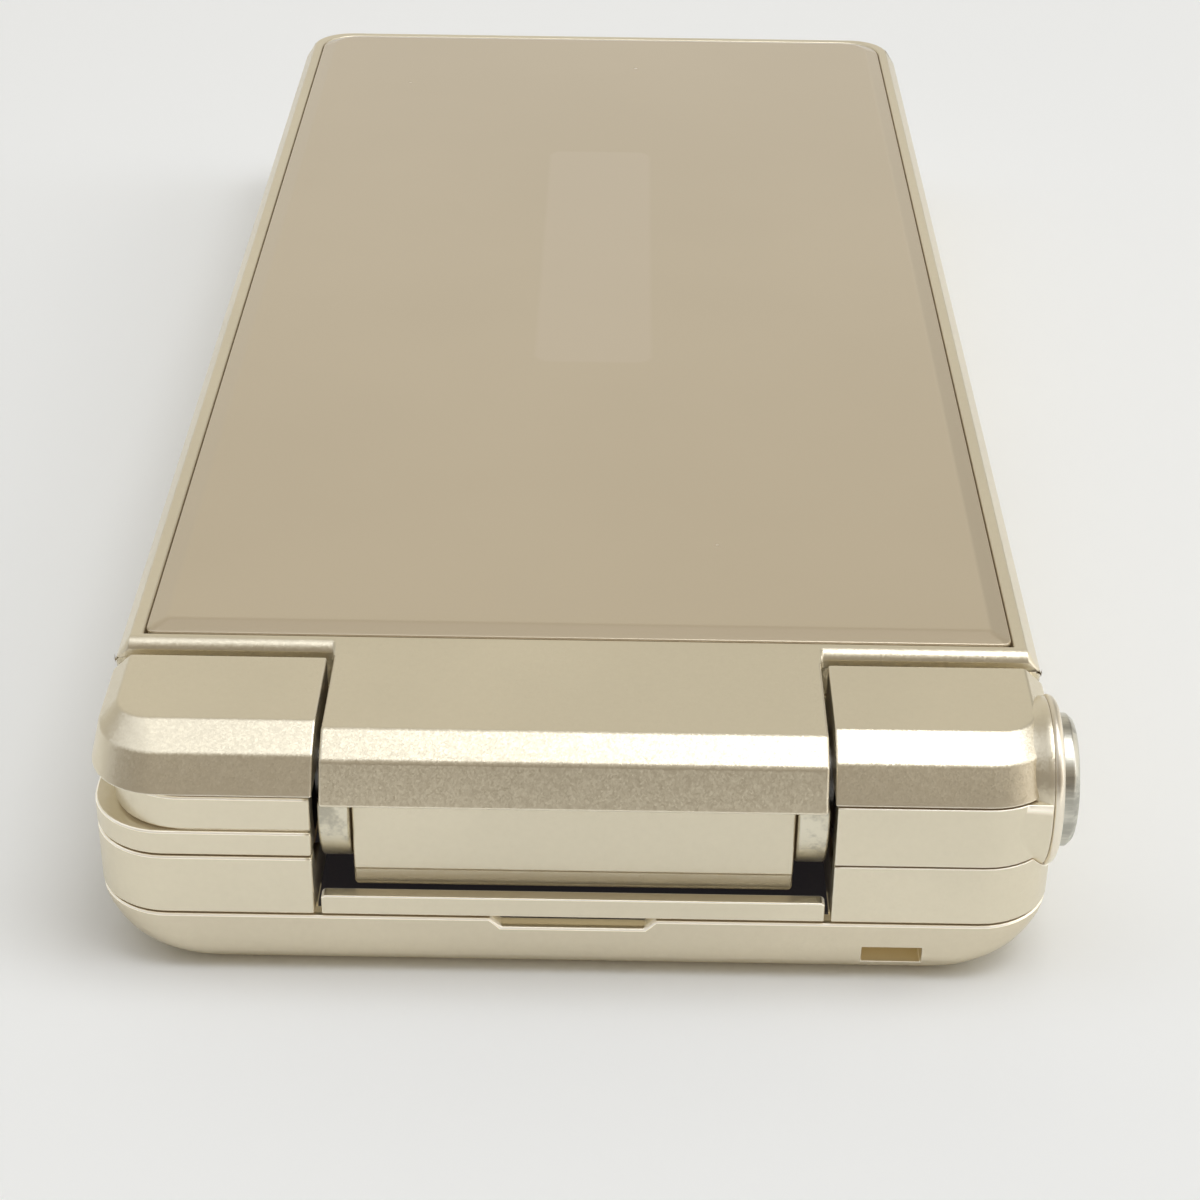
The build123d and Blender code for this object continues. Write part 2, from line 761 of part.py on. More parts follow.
# %% Side key and port flap
with BuildPart() as side_key:
    lip_out = half_width - case_wall
    slab(
        lip_out - side_key_lip_thickness, half_width + side_key_proud,
        side_key_y - side_key_length / 2, side_key_y + side_key_length / 2,
        side_mid_z - side_key_height / 2, side_mid_z + side_key_height / 2,
    )
    slab(
        lip_out - side_key_lip_thickness, lip_out,
        side_key_y - side_key_length / 2 - side_key_lip, side_key_y + side_key_length / 2 + side_key_lip,
        side_mid_z - side_key_height / 2, side_mid_z + side_key_height / 2,
    )
save(side_key, "side_key")

flap_pivot_radius = flap_thickness / 2
flap_pivot_x = -half_width + flap_pivot_radius
flap_pivot_y = port_y + flap_length / 2 - flap_pivot_radius

with BuildPart() as port_cover:
    slab(
        -half_width, -half_width + flap_thickness, port_y - flap_length / 2, flap_pivot_y,
        side_mid_z - flap_height / 2, side_mid_z + flap_height / 2,
    )
    post(
        flap_pivot_x, flap_pivot_y, flap_pivot_radius,
        side_mid_z - flap_height / 2, side_mid_z + flap_height / 2,
    )
save(port_cover, "port_cover")

# %% Hinge unit in the right knuckle, bush in the left, button and ring
unit_start = side_knuckle_inner + snug
shaft_flange_thickness = 2.0
cam_gap = 0.3
cam_thickness = 1.8
spring_wire = 0.35
spring_pitch = 0.8
unit_inner_radius = unit_radius - unit_wall
moving_radius = unit_inner_radius - running
shaft_flange_end = unit_start + snug + shaft_flange_thickness
cam_start = shaft_flange_end + cam_gap
spring_start = cam_start + cam_thickness + spring_wire + snug
spring_end = unit_end - unit_wall - spring_wire - snug

with BuildPart() as hinge_housing:
    rod(axis_y, axis_z, unit_radius, unit_start, unit_end - snug)
    rod(axis_y, axis_z, unit_inner_radius, unit_start, unit_end - unit_wall, Mode.SUBTRACT)
    rod(axis_y, axis_z, stem_radius + 2 * snug, unit_end - 2 * unit_wall, unit_end, Mode.SUBTRACT)
save(hinge_housing, "hinge_housing")

with BuildPart() as hinge_cam:
    rod(axis_y, axis_z, moving_radius, cam_start, cam_start + cam_thickness)
save(hinge_cam, "hinge_cam")

spring_radius = moving_radius - spring_wire - snug
with BuildPart() as hinge_spring:
    with BuildLine() as coil:
        Helix(
            pitch=spring_pitch, height=spring_end - spring_start,
            radius=spring_radius, center=(spring_start, axis_y, axis_z), direction=(1, 0, 0),
        )
    with BuildSketch(Plane(origin=coil.line @ 0, z_dir=coil.line % 0)) as wire:
        Circle(spring_wire)
    sweep(wire.sketch, path=coil.line, is_frenet=True)
save(hinge_spring, "hinge_spring")

with BuildPart() as hinge_bush_left:
    rod(axis_y, axis_z, unit_radius, -unit_end + snug, -unit_start)
    rod(axis_y, axis_z, shaft_radius + running, -unit_end + unit_wall, -unit_start, Mode.SUBTRACT)
save(hinge_bush_left, "hinge_bush_left")

with BuildPart() as button_ring:
    rod(axis_y, axis_z, ring_radius, ring_inner, ring_outer)
    fillet(button_ring.faces().sort_by(Axis.X)[-1].edges(), ring_edge_radius)
    rod(axis_y, axis_z, button_radius + button_gap, ring_inner, ring_outer, Mode.SUBTRACT)
save(button_ring, "button_ring")

with BuildPart() as one_push_button:
    rod(axis_y, axis_z, button_radius, button_seat, button_reach)
    fillet(one_push_button.faces().sort_by(Axis.X)[-1].edges(), button_edge_radius)
    rod(axis_y, axis_z, stem_radius, unit_end - unit_wall, button_seat)
save(one_push_button, "one_push_button")

# %% Lid: sizes
lid_inset = 0.2
lid_chamfer_inset = 0.8
lid_chamfer_height = 1.2
lid_rim_width = 0.77
lid_frame_wall = 1.2
lid_near_wall = 1.5
lip_land = 0.1
ledge_width = 1.5
ledge_thickness = 0.8
crown_thickness = 1.0
panel_thickness = 1.1
panel_bevel = 1.1
panel_near_radius = 1.3
panel_far_radius = 2.8
panel_setback = 0.25

lid_half_width = half_width - lid_inset
lid_far = free_end - lid_inset
lid_corner = corner_radius - lid_inset
rim_half_width = lid_half_width - lid_chamfer_inset
rim_far = lid_far - lid_chamfer_inset
rim_above_axis = rim_top - axis_z
lip_y = axis_y + (lid_scoop_radius**2 - rim_above_axis**2) ** 0.5 + lip_land
lid_inner_near = axis_y + lid_scoop_radius + lid_near_wall
panel_bottom = panel_top - panel_thickness
panel_half_width = rim_half_width - lid_rim_width
panel_far = rim_far - lid_rim_width
panel_near = axis_y + lid_scoop_radius + panel_setback
ledge_top = panel_bottom - snug
ledge_bottom = ledge_top - ledge_thickness

# corners of the centre knuckle's crown, as (y, z), outside and inside
crown_front_reach = 2.5
crown_shoulder_reach = 4.1
crown_lip_reach = 5.2
crown_shoulder_drop = 1.0
crown_front = (axis_y - crown_front_reach, rim_top)
crown_shoulder = (axis_y - crown_shoulder_reach, rim_top - crown_shoulder_drop)
crown_lip = (axis_y - crown_lip_reach, lid_outer_bottom)
inner_front = (crown_front[0] + 0.3 * crown_thickness, rim_top - crown_thickness)
inner_shoulder = (crown_shoulder[0] + 0.7 * crown_thickness, crown_shoulder[1] - 0.6 * crown_thickness)
inner_lip = (crown_lip[0] + 0.85 * crown_thickness, lid_outer_bottom)


def lid_outline(height, half_wide, near, far, radius):
    """The lid's outline at a height: rounded at the free end, square at the hinge."""
    with BuildSketch(Plane.XY.offset(height)) as outline:
        with Locations((0, (near + far) / 2)):
            Rectangle(2 * half_wide, far - near)
        fillet(outline.vertices().group_by(Axis.Y)[-1], radius)
    return outline.sketch


def lid_cut(half_wide, near, far, radius, z_low, z_high):
    """Cut the lid's outline through the part being built."""
    extrude(lid_outline(z_low, half_wide, near, far, radius), amount=z_high - z_low, mode=Mode.SUBTRACT)


# %% Lid screws, bumpers and the parts in the lid
lid_screw_side_setback = 5.3
lid_screw_near_setback = 4.2
lid_screw_far_setback = 5.3
lid_screw_places = [
    (side * (lid_half_width - lid_screw_side_setback), y)
    for side in (-1, 1)
    for y in (lid_inner_near + lid_screw_near_setback, lid_far - lid_screw_far_setback)
]
lid_boss_radius = 1.8
lid_boss_rib = 1.2
bumper_radius = 1.65
bumper_recess = 0.3
bumper_gap = 0.1
window_recess = 0.15
window_thickness = 0.8
window_side_frame = 3.1
window_near_frame = 8.7
window_far_frame = 10.3
window_radius = 1.0
display_side_frame = 2.2
display_end_frame = 3.5
display_flange = 1.2
display_flange_height = 1.2
lid_board_thickness = 0.4
sub_display_x = 0.28
sub_display_width = 9.6
sub_display_setback = 31.2
sub_display_length = 40.5
earpiece_setback = 5.5
earpiece_length = 12.0
earpiece_width = 5.0
earpiece_height = 1.5
earpiece_slot_length = 8.0
earpiece_slot_width = 1.2

window_half_width = lid_half_width - window_side_frame
window_near = lid_inner_near + window_near_frame
window_far = lid_far - window_far_frame
display_half_width = window_half_width - display_side_frame
display_near = window_near + display_end_frame
display_far = window_far - display_end_frame
sub_display_near = lid_inner_near + sub_display_setback
earpiece_y = lid_far - earpiece_setback
window_seat = lid_bottom + window_recess + window_thickness + snug
display_bottom = window_seat + snug
display_top = lid_inner_top + snug + display_flange_height
lid_board_bottom = display_top + snug
lid_board_top = lid_board_bottom + lid_board_thickness

with BuildPart() as lid_outer_case:
    shoulder_height = rim_top - lid_chamfer_height
    bottom_outline = lid_outline(lid_outer_bottom, lid_half_width, lip_y, lid_far, lid_corner)
    extrude(bottom_outline, amount=shoulder_height - lid_outer_bottom)
    loft([
        lid_outline(shoulder_height, lid_half_width, lip_y, lid_far, lid_corner),
        lid_outline(rim_top, rim_half_width, lip_y, rim_far, lid_corner - lid_chamfer_inset),
    ], ruled=True)
    rod(axis_y, axis_z, lid_scoop_radius, -half_width, half_width, Mode.SUBTRACT)
    lid_cut(
        lid_half_width - lid_frame_wall, lid_inner_near, lid_far - lid_frame_wall,
        lid_corner - lid_frame_wall, lid_outer_bottom, ledge_bottom,
    )
    lid_cut(
        panel_half_width - ledge_width, lid_inner_near, panel_far - ledge_width,
        panel_far_radius - ledge_width, lid_outer_bottom, ledge_top,
    )
    lid_cut(
        panel_half_width + snug, panel_near - snug, panel_far + snug, panel_far_radius + snug,
        ledge_top, rim_top,
    )
    profile(
        [(panel_near - snug, rim_top), crown_front, crown_shoulder, crown_lip,
         inner_lip, inner_shoulder, inner_front, (panel_near - snug, rim_top - crown_thickness)],
        -knuckle_half_width, knuckle_half_width,
    )
    for x, y in lid_screw_places:
        side = 1 if x > 0 else -1
        x_low, x_high = sorted((x, side * (lid_half_width - lid_frame_wall / 2)))
        post(x, y, lid_boss_radius, lid_outer_bottom, ledge_top)
        slab(x_low, x_high, y - lid_boss_rib / 2, y + lid_boss_rib / 2, lid_outer_bottom, ledge_bottom + snug)
        post(x, y, screw_shank_radius + snug, lid_outer_bottom, lid_board_top + snug, Mode.SUBTRACT)
save(lid_outer_case, "lid_outer_case")

# %% Lid inner case: bezel, window rebate and the block that carries the hinge
block_side_room = 1.55
block_half_width = knuckle_half_width - block_side_room
block_reach = 3.8
block_drop = 5.4
block_chamfer = 0.9
block_seam_drop = 3.85
block_seam_step = 0.12
block_foot_rise = 0.5
block_back_chamfer = 1.3
block_top_chamfer = 1.5
block_back_gap = 0.9
block_front = axis_y - block_reach
block_foot = axis_z - block_drop
block_top = rim_top - crown_thickness - fit
block_back = axis_y + lid_scoop_radius - block_back_gap
shaft_grip = 6.0
block_seam = axis_z - block_seam_drop
block_outline = [
    (block_front, block_seam), (block_front + block_seam_step, block_seam),
    (block_front + block_seam_step, block_foot + block_foot_rise), (block_front + block_chamfer, block_foot),
    (axis_y + block_reach - block_back_chamfer, block_foot),
    (axis_y + block_reach, block_foot + block_back_chamfer),
    (axis_y + block_reach + block_chamfer, lid_bottom), (lid_inner_near, lid_bottom),
    (lid_inner_near, lid_inner_top), (block_back, lid_inner_top), (block_back, block_top),
    (block_front + block_top_chamfer + fit, block_top), (block_front, block_top - block_top_chamfer),
]

with BuildPart() as lid_inner_case:
    inner_outline = lid_outline(lid_bottom, lid_half_width, axis_y, lid_far, lid_corner)
    extrude(inner_outline, amount=lid_inner_height)
    rod(axis_y, axis_z, lid_scoop_radius, -half_width, half_width, Mode.SUBTRACT)
    profile(block_outline, -block_half_width, block_half_width)
    rod(axis_y, axis_z, shaft_radius + snug, -block_half_width, -block_half_width + shaft_grip, Mode.SUBTRACT)
    rod(axis_y, axis_z, shaft_radius + snug, block_half_width - shaft_grip, block_half_width, Mode.SUBTRACT)
    slab(
        -window_half_width - snug, window_half_width + snug, window_near - snug, window_far + snug,
        lid_bottom, window_seat, window_radius + snug, Mode.SUBTRACT,
    )
    slab(
        -display_half_width - snug, display_half_width + snug, display_near - snug, display_far + snug,
        window_seat, lid_inner_top, mode=Mode.SUBTRACT,
    )
    plate(
        0, earpiece_y, earpiece_slot_length, earpiece_slot_width, lid_bottom, lid_inner_top,
        earpiece_slot_width / 3, Mode.SUBTRACT,
    )
    for x, y in lid_screw_places:
        post(x, y, bumper_radius + snug, lid_bottom, lid_bottom + bumper_recess, Mode.SUBTRACT)
        post(
            x, y, screw_head_radius + snug, lid_bottom,
            lid_bottom + bumper_recess + screw_head_height + 2 * snug, Mode.SUBTRACT,
        )
        post(x, y, screw_shank_radius + snug, lid_bottom, lid_inner_top, Mode.SUBTRACT)
save(lid_inner_case, "lid_inner_case")

with BuildPart() as lid_panel:
    extrude(
        lid_outline(panel_bottom, panel_half_width, panel_near, panel_far, panel_far_radius),
        amount=panel_thickness - panel_rise,
    )
    loft([
        lid_outline(rim_top, panel_half_width, panel_near, panel_far, panel_far_radius),
        lid_outline(
            panel_top, panel_half_width - panel_bevel, panel_near + panel_bevel,
            panel_far - panel_bevel, panel_far_radius - panel_bevel,
        ),
    ], ruled=True)
    fillet(lid_panel.edges().filter_by(Axis.Z).group_by(Axis.Y)[0], panel_near_radius / 2)
save(lid_panel, "lid_panel")

with BuildPart() as sub_display:
    slab(
        sub_display_x - sub_display_width / 2, sub_display_x + sub_display_width / 2,
        sub_display_near, sub_display_near + sub_display_length, lid_board_top + snug, panel_bottom - snug,
    )
save(sub_display, "sub_display")

with BuildPart() as lid_circuit_board:
    slab(
        -display_half_width - display_flange, display_half_width + display_flange, window_near, window_far,
        lid_board_bottom, lid_board_top,
    )
save(lid_circuit_board, "lid_circuit_board")

with BuildPart() as main_display:
    slab(-display_half_width, display_half_width, display_near, display_far, display_bottom, display_top)
    slab(
        -display_half_width - display_flange, display_half_width + display_flange,
        display_near - display_flange, display_far + display_flange, lid_inner_top + snug, display_top,
    )
save(main_display, "main_display")

with BuildPart() as main_display_window:
    slab(
        -window_half_width, window_half_width, window_near, window_far,
        lid_bottom + window_recess, lid_bottom + window_recess + window_thickness, window_radius,
    )
save(main_display_window, "main_display_window")

with BuildPart() as earpiece_speaker:
    plate(
        0, earpiece_y, earpiece_length, earpiece_width,
        lid_inner_top + snug, lid_inner_top + earpiece_height, board_corner,
    )
save(earpiece_speaker, "earpiece_speaker")

with BuildPart() as lid_screws:
    for x, y in lid_screw_places:
        head_low = lid_bottom + bumper_recess + snug
        post(x, y, screw_head_radius, head_low, head_low + screw_head_height)
        post(x, y, screw_shank_radius, head_low + screw_head_height, lid_board_top)
save(lid_screws, "lid_screws")

with BuildPart() as lid_bumpers:
    for x, y in lid_screw_places:
        post(x, y, bumper_radius, deck_top + bumper_gap, lid_bottom + bumper_recess)
save(lid_bumpers, "lid_bumpers")

# %% Hinge barrels and shafts, which turn with the lid
barrel_start = block_half_width + parting_gap
barrel_top = crown_lip[1] - fit
barrel_crown_radius = 2.95
shaft_inner = block_half_width - shaft_grip + snug


with BuildPart() as hinge_barrels:
    for side in (-1, 1):
        x_low, x_high = sorted((side * barrel_start, side * (barrel_start + barrel_thickness)))
        rod(axis_y, axis_z, barrel_radius, x_low, x_high)
        slab(
            x_low, x_high, hinge_end, axis_y + barrel_radius, barrel_top,
            axis_z + barrel_radius, mode=Mode.SUBTRACT,
        )
        rod(axis_y, axis_z, barrel_crown_radius, x_low, x_high)
        rod(axis_y, axis_z, shaft_radius + snug, x_low, x_high, Mode.SUBTRACT)
save(hinge_barrels, "hinge_barrels")

with BuildPart() as hinge_shaft:
    rod(axis_y, axis_z, shaft_radius, shaft_inner, unit_start + snug)
    rod(axis_y, axis_z, moving_radius, unit_start + snug, shaft_flange_end)
save(hinge_shaft, "hinge_shaft")

with BuildPart() as hinge_pin_left:
    rod(axis_y, axis_z, shaft_radius, -unit_end + unit_wall + fit, -shaft_inner)
save(hinge_pin_left, "hinge_pin_left")
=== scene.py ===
# %% [markdown]
# # A flip phone, finished
#
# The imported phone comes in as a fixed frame: every piece at its real size and place, in metres,
# with the hinge end at -Y and the underside on z = 0.
# What is left to do is what makes it look real: soft edges that catch the light, key tops with a
# crown, legends, flakes in the paint, worn plating, dust on the gloss, and a lit table to stand on.
# The frame's own pieces stay as they are. Where one needs a finer surface, a new piece stands in.

# %% Load the frame
import json
import math

import bmesh
import bpy
import numpy as np
from mathutils import Matrix, Vector


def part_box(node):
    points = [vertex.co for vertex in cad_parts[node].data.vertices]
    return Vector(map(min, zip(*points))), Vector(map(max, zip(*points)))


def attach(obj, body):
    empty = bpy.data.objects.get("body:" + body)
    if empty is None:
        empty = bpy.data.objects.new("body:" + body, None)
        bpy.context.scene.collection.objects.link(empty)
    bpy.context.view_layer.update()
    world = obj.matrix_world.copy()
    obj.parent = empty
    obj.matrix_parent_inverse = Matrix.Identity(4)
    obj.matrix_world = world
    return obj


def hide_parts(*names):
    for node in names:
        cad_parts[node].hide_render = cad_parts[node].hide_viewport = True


MM = 0.001
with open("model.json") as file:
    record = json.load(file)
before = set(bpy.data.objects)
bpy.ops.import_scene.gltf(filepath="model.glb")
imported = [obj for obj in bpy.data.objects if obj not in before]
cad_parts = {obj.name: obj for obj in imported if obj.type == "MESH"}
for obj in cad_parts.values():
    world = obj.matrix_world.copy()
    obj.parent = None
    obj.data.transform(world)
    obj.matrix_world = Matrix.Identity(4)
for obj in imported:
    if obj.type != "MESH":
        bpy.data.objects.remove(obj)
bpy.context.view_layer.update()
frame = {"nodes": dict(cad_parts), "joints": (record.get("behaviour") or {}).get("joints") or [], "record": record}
nodes = frame["nodes"]
record = frame["record"]
print("pieces in the frame:", len(nodes))

# %% [markdown]
# ## Measures
#
# Places are read from the frame, so a change of size in the model carries over, which copied
# numbers would not. They are turned into millimetres, because a phone's details are fractions
# of one.


# %% Boxes of the nodes in millimetres
def node_box(name):
    """A node's lowest and highest corner as two numpy rows, in millimetres."""
    low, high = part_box(name)
    return np.array(low) / MM, np.array(high) / MM


lid_hinge = next(j for j in frame["joints"] if j["name"] == "lid_hinge")
axis_y, axis_z = (lid_hinge["pos_m"][i] / MM for i in (1, 2))
hinge_end = node_box("battery_cover")[0][1]
lid_top = node_box("lid_outer_case")[1][2]
crown_half_width = 13.15  # half the width of the centre knuckle
body_of_node = {n: body for body, members in record["behaviour"]["bodies"].items() for n in members}
print("hinge axis at y", round(axis_y, 2), "z", round(axis_z, 2))

# %% [markdown]
# ## Outlines
#
# Most parts of a phone are plates whose outline is a polygon with arcs for corners. They could be
# cut from cubes with bevels, but a function makes such an outline with the same number of points
# whatever its size, so that two of them at different heights can be joined point by point.


# %% Outlines
def rounded_polygon(corners, radii, steps=8):
    """Points round a polygon whose corners are arcs.

    At a corner p with unit edges u in and w out, the turn is a = atan2(u x w, u . w). The arc
    starts r tan(|a| / 2) before p, and its points are start + n r (1 - cos t) + u r sin t for t
    from 0 to |a|, where n is u turned a quarter towards the inside of the turn.
    """
    p = np.asarray(corners, float)
    r = np.broadcast_to(np.asarray(radii, float), len(p))[:, None]
    u = p - np.roll(p, 1, axis=0)
    u /= np.linalg.norm(u, axis=1, keepdims=True)
    w = np.roll(u, -1, axis=0)
    turn = np.arctan2(u[:, 0] * w[:, 1] - u[:, 1] * w[:, 0], (u * w).sum(1))[:, None]
    n = np.stack([-u[:, 1], u[:, 0]], 1) * np.sign(turn)
    t = (np.abs(turn) * np.linspace(0, 1, steps))[..., None]
    start = (p - u * r * np.tan(np.abs(turn) / 2))[:, None]
    u, n, r = u[:, None], n[:, None], r[:, None]
    return (start + n * r * (1 - np.cos(t)) + u * r * np.sin(t)).reshape(-1, 2)


def rectangle(x_low, x_high, y_low, y_high):
    """A rectangle's corners, counter-clockwise from the near left."""
    return np.array([(x_low, y_low), (x_high, y_low), (x_high, y_high), (x_low, y_high)])


def inset_outline(low, high, inset, radii):
    """The rounded outline of a box between two corners, drawn in by an inset."""
    sides = low[0] + inset, high[0] - inset, low[1] + inset, high[1] - inset
    return rounded_polygon(rectangle(*sides), radii)


def circle(radius, steps):
    """Points of a circle about the origin: r (cos a, sin a)."""
    a = np.linspace(0, 2 * np.pi, steps, endpoint=False)
    return np.stack([radius * np.cos(a), radius * np.sin(a)], 1)


print("points in a plate's outline:", len(rounded_polygon(rectangle(0, 9, 0, 9), 1)))

# %% [markdown]
# ## Lofts
#
# A skin is stretched over a stack of outlines. Before that, each turn of the stack is replaced by
# a short curve: this is how a moulded edge gets its soft radius. A bevel modifier would do it too,
# but here each turn has a radius of its own and the number of faces is known.

# %% Lofts
ALMOST_HALF = 0.45
TINY = 1e-9


def at_heights(outlines, heights):
    """Flat outlines lifted to their heights, as levels in space."""
    return np.array([np.column_stack([o, np.full(len(o), h)]) for o, h in zip(outlines, heights)])


def cut_down(step, reach):
    """A step from one level to the next, cut down to a reach, and to less than half of itself."""
    length = np.linalg.norm(step, axis=2, keepdims=True) + TINY
    return step * np.minimum(reach / length, ALMOST_HALF)


def soften(levels, radii, steps=5):
    """Round every inner turn of a stack with a quadratic Bezier curve.

    A turn p becomes (1 - s)^2 q + 2 s (1 - s) p + s^2 e, where q and e lie a radius from p
    towards the levels before and after it, or not quite halfway if that is nearer.
    """
    p, before, after = levels[1:-1], levels[:-2] - levels[1:-1], levels[2:] - levels[1:-1]
    reach = np.broadcast_to(np.asarray(radii, float), len(p)).reshape(-1, 1, 1)
    q, e = p + cut_down(before, reach), p + cut_down(after, reach)
    s = np.linspace(0, 1, steps).reshape(1, -1, 1, 1)
    turns = (1 - s) ** 2 * q[:, None] + 2 * s * (1 - s) * p[:, None] + s**2 * e[:, None]
    return np.concatenate([levels[:1], turns.reshape(-1, *levels.shape[1:]), levels[-1:]])


def lathe(radii, heights, segments=96):
    """Levels of a shape turned about Z: a circle of each radius at each height."""
    return at_heights([circle(r, segments) for r in radii], heights)


def laid_along_x(levels, y, z):
    """A lathe shape laid down along X: its height becomes x, its own x and y become y and z."""
    return np.stack([levels[..., 2], y + levels[..., 0], z + levels[..., 1]], -1)


def add_object(name, data):
    """An object for a mesh, a text, a lamp or a camera, linked to the scene."""
    made = bpy.data.objects.new(name, data)
    bpy.context.scene.collection.objects.link(made)
    return made


def applied_mesh(made):
    """A new mesh of an object as it shows: its modifiers applied, or its text turned into faces."""
    bpy.context.view_layer.update()
    shown = made.evaluated_get(bpy.context.evaluated_depsgraph_get())
    return bpy.data.meshes.new_from_object(shown)


def link_piece(name, mesh, body, material):
    """Put a mesh into the scene as a piece that rides on a body, shaded smooth."""
    piece = add_object(name, mesh)
    mesh.materials.clear()
    mesh.materials.append(material)
    mesh.polygons.foreach_set("use_smooth", np.ones(len(mesh.polygons), bool))
    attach(piece, body)
    return piece


def flatten_shading(piece, weight=80):
    """Let the large flat faces decide the shading, so that only the edges look round."""
    piece.modifiers.new("flat faces", "WEIGHTED_NORMAL").weight = weight


def skin(name, levels, closed=False):
    """A mesh over a stack of levels: a quad between each four neighbours.

    An open stack gets a cap on each end. A closed one is joined from its last level to its first.
    """
    count, around = levels.shape[:2]
    index = np.arange(count * around).reshape(count, around)
    low, high = (index, np.roll(index, -1, 0)) if closed else (index[:-1], index[1:])
    quads = np.stack([low, np.roll(low, -1, 1), np.roll(high, -1, 1), high], -1)
    faces = quads.reshape(-1, 4).tolist()
    if not closed:
        faces += [index[0, ::-1].tolist(), index[-1].tolist()]
    mesh = bpy.data.meshes.new(name)
    mesh.from_pydata((levels.reshape(-1, 3) * MM).tolist(), [], faces)
    return mesh


def loft(name, levels, body, material, closed=False):
    """A piece whose surface is a skin over a stack of levels."""
    piece = link_piece(name, skin(name, levels, closed), body, material)
    flatten_shading(piece)
    return piece


print("three levels become", len(soften(lathe([1, 1, 0.5], [0, 1, 1], 6), 0.1)), "when softened")


# %% [markdown]
# ## Sockets that work like numbers
#
# A pattern could be wired by hand, node by node, but it is easiest to read as a formula. A small
# class wraps an output of a shader node, and the usual signs between two of them add a math node.


# %% Sockets and shaders
class Socket:
    """An output of a shader node that can be added, multiplied and compared."""

    def __init__(self, shader, output):
        self.shader, self.output = shader, output

    def math(self, operation, *values):
        """A math node whose first value is this output."""
        return self.shader.node("Math", *values, settings={"operation": operation})

    def __add__(self, other):
        return self.math("ADD", self, other)

    def __sub__(self, other):
        return self.math("SUBTRACT", self, other)

    def __rsub__(self, other):
        return self.math("SUBTRACT", other, self)

    def __mul__(self, other):
        return self.math("MULTIPLY", self, other)

    def __pow__(self, other):
        return self.math("POWER", self, other)

    __radd__, __rmul__ = __add__, __mul__

    def most(self, other):
        """The larger of the two."""
        return self.math("MAXIMUM", self, other)

    def size(self):
        """The value without its sign."""
        return self.math("ABSOLUTE", self)

    def rise(self, low, high):
        """0 below low, 1 above high, and a smooth ramp between them."""
        return self.shader.node(
            "MapRange", self, low, high, 0.0, 1.0, settings={"interpolation_type": "SMOOTHSTEP"}
        )


class Shader:
    """A material or a world whose nodes are made by name."""

    def __init__(self, name, world=False):
        self.block = (bpy.data.worlds if world else bpy.data.materials).new(name)
        self.block.use_nodes = True
        self.tree = self.block.node_tree
        self.tree.nodes.clear()
        end = self.tree.nodes.new(f"ShaderNodeOutput{'World' if world else 'Material'}")
        self.end = end.inputs["Surface"]

    def put(self, target, value):
        """Link a socket, or set a constant."""
        if isinstance(value, Socket):
            self.tree.links.new(value.output, target)
        else:
            target.default_value = value

    def node(self, kind, *values, output=0, settings=None, **named):
        """Make a node: first its settings, then values in order, then values by name."""
        made = self.tree.nodes.new(f"ShaderNode{kind}")
        for key, value in (settings or {}).items():
            setattr(made, key, value)
        for place, value in enumerate(values):
            self.put(made.inputs[place], value)
        for key, value in named.items():
            self.put(made.inputs[key.replace("_", " ")], value)
        return Socket(self, made.outputs[output])

    def blend(self, share, first, second):
        """A colour between two colours."""
        made = self.tree.nodes.new("ShaderNodeMix")
        made.data_type = "RGBA"
        for place, value in ((0, share), (6, first), (7, second)):
            self.put(made.inputs[place], value)
        return Socket(self, made.outputs[2])

    def parts(self, vector):
        """The x, y and z of a vector."""
        made = self.tree.nodes.new("ShaderNodeSeparateXYZ")
        self.put(made.inputs[0], vector)
        return [Socket(self, made.outputs[i]) for i in range(3)]

    def noise(self, where, scale, detail=2.0, roughness=0.5):
        """Clouds from 0 to 1 whose size is one metre divided by the scale."""
        return self.node("TexNoise", where, Scale=scale, Detail=detail, Roughness=roughness)

    def vector(self, operation, *values, **named):
        """A vector math node."""
        return self.node("VectorMath", *values, settings={"operation": operation}, **named)

    def finish(self, surface):
        """Join the last shader to the output, and hand the material or the world over."""
        self.put(self.end, surface)
        return self.block


def linear(red, green, blue):
    """A display colour from 0 to 255 as linear light.

    A share c becomes ((c + 0.055) / 1.055)^2.4, or c / 12.92 near black.
    """
    c = np.array([red, green, blue]) / 255
    return (*np.where(c <= 0.04045, c / 12.92, ((c + 0.055) / 1.055) ** 2.4).tolist(), 1.0)


def darker(colour, share):
    """A colour with only a share of its light."""
    return (*[c * share for c in colour[:3]], 1.0)


print("a mid grey in linear light:", round(linear(128, 128, 128)[0], 3))

# %% [markdown]
# ## Champagne paint
#
# The case is sprayed with a paint that holds aluminium flakes under a clear coat. Each flake is a
# cell of a Voronoi pattern a tenth of a millimetre across, tipped at random, so that a bright lamp
# breaks up into sparkle. A plain metallic paint would reflect the lamp as one flat patch.
# Handling polishes the edges: they are lightened for that wear, and also as a painted highlight.
# The gaps between the mouldings get painted shade, a brown darkening. The first comes from how far
# a rounded normal leans from the true one, the second from how much the surroundings shade a spot.
# So neither needs hand-painted masks, and both follow every edge.


# %% Wear, painted shade and painted highlights
def edge_share(s, where, radius):
    """How near an edge a point is: 1 - rounded normal . true normal, broken up by a noise."""
    rounded = s.node("Bevel", settings={"samples": 4}, Radius=radius * MM)
    true = s.node("NewGeometry", output="Normal")
    lean = s.vector("DOT_PRODUCT", rounded, true, output="Value")
    return (1.0 - lean).rise(0.01, 0.08) * (s.noise(where, 1500.0, 3.0).rise(0.4, 0.6) * 0.5 + 0.5)


def gap_shade(s, distance):
    """How deep in a gap a point is, from ambient occlusion over a short distance: the mask of the painted shade.
    """
    shade = s.node("AmbientOcclusion", output="AO", settings={"samples": 6}, Distance=distance * MM)
    return (1.0 - shade).rise(0.55, 0.95)


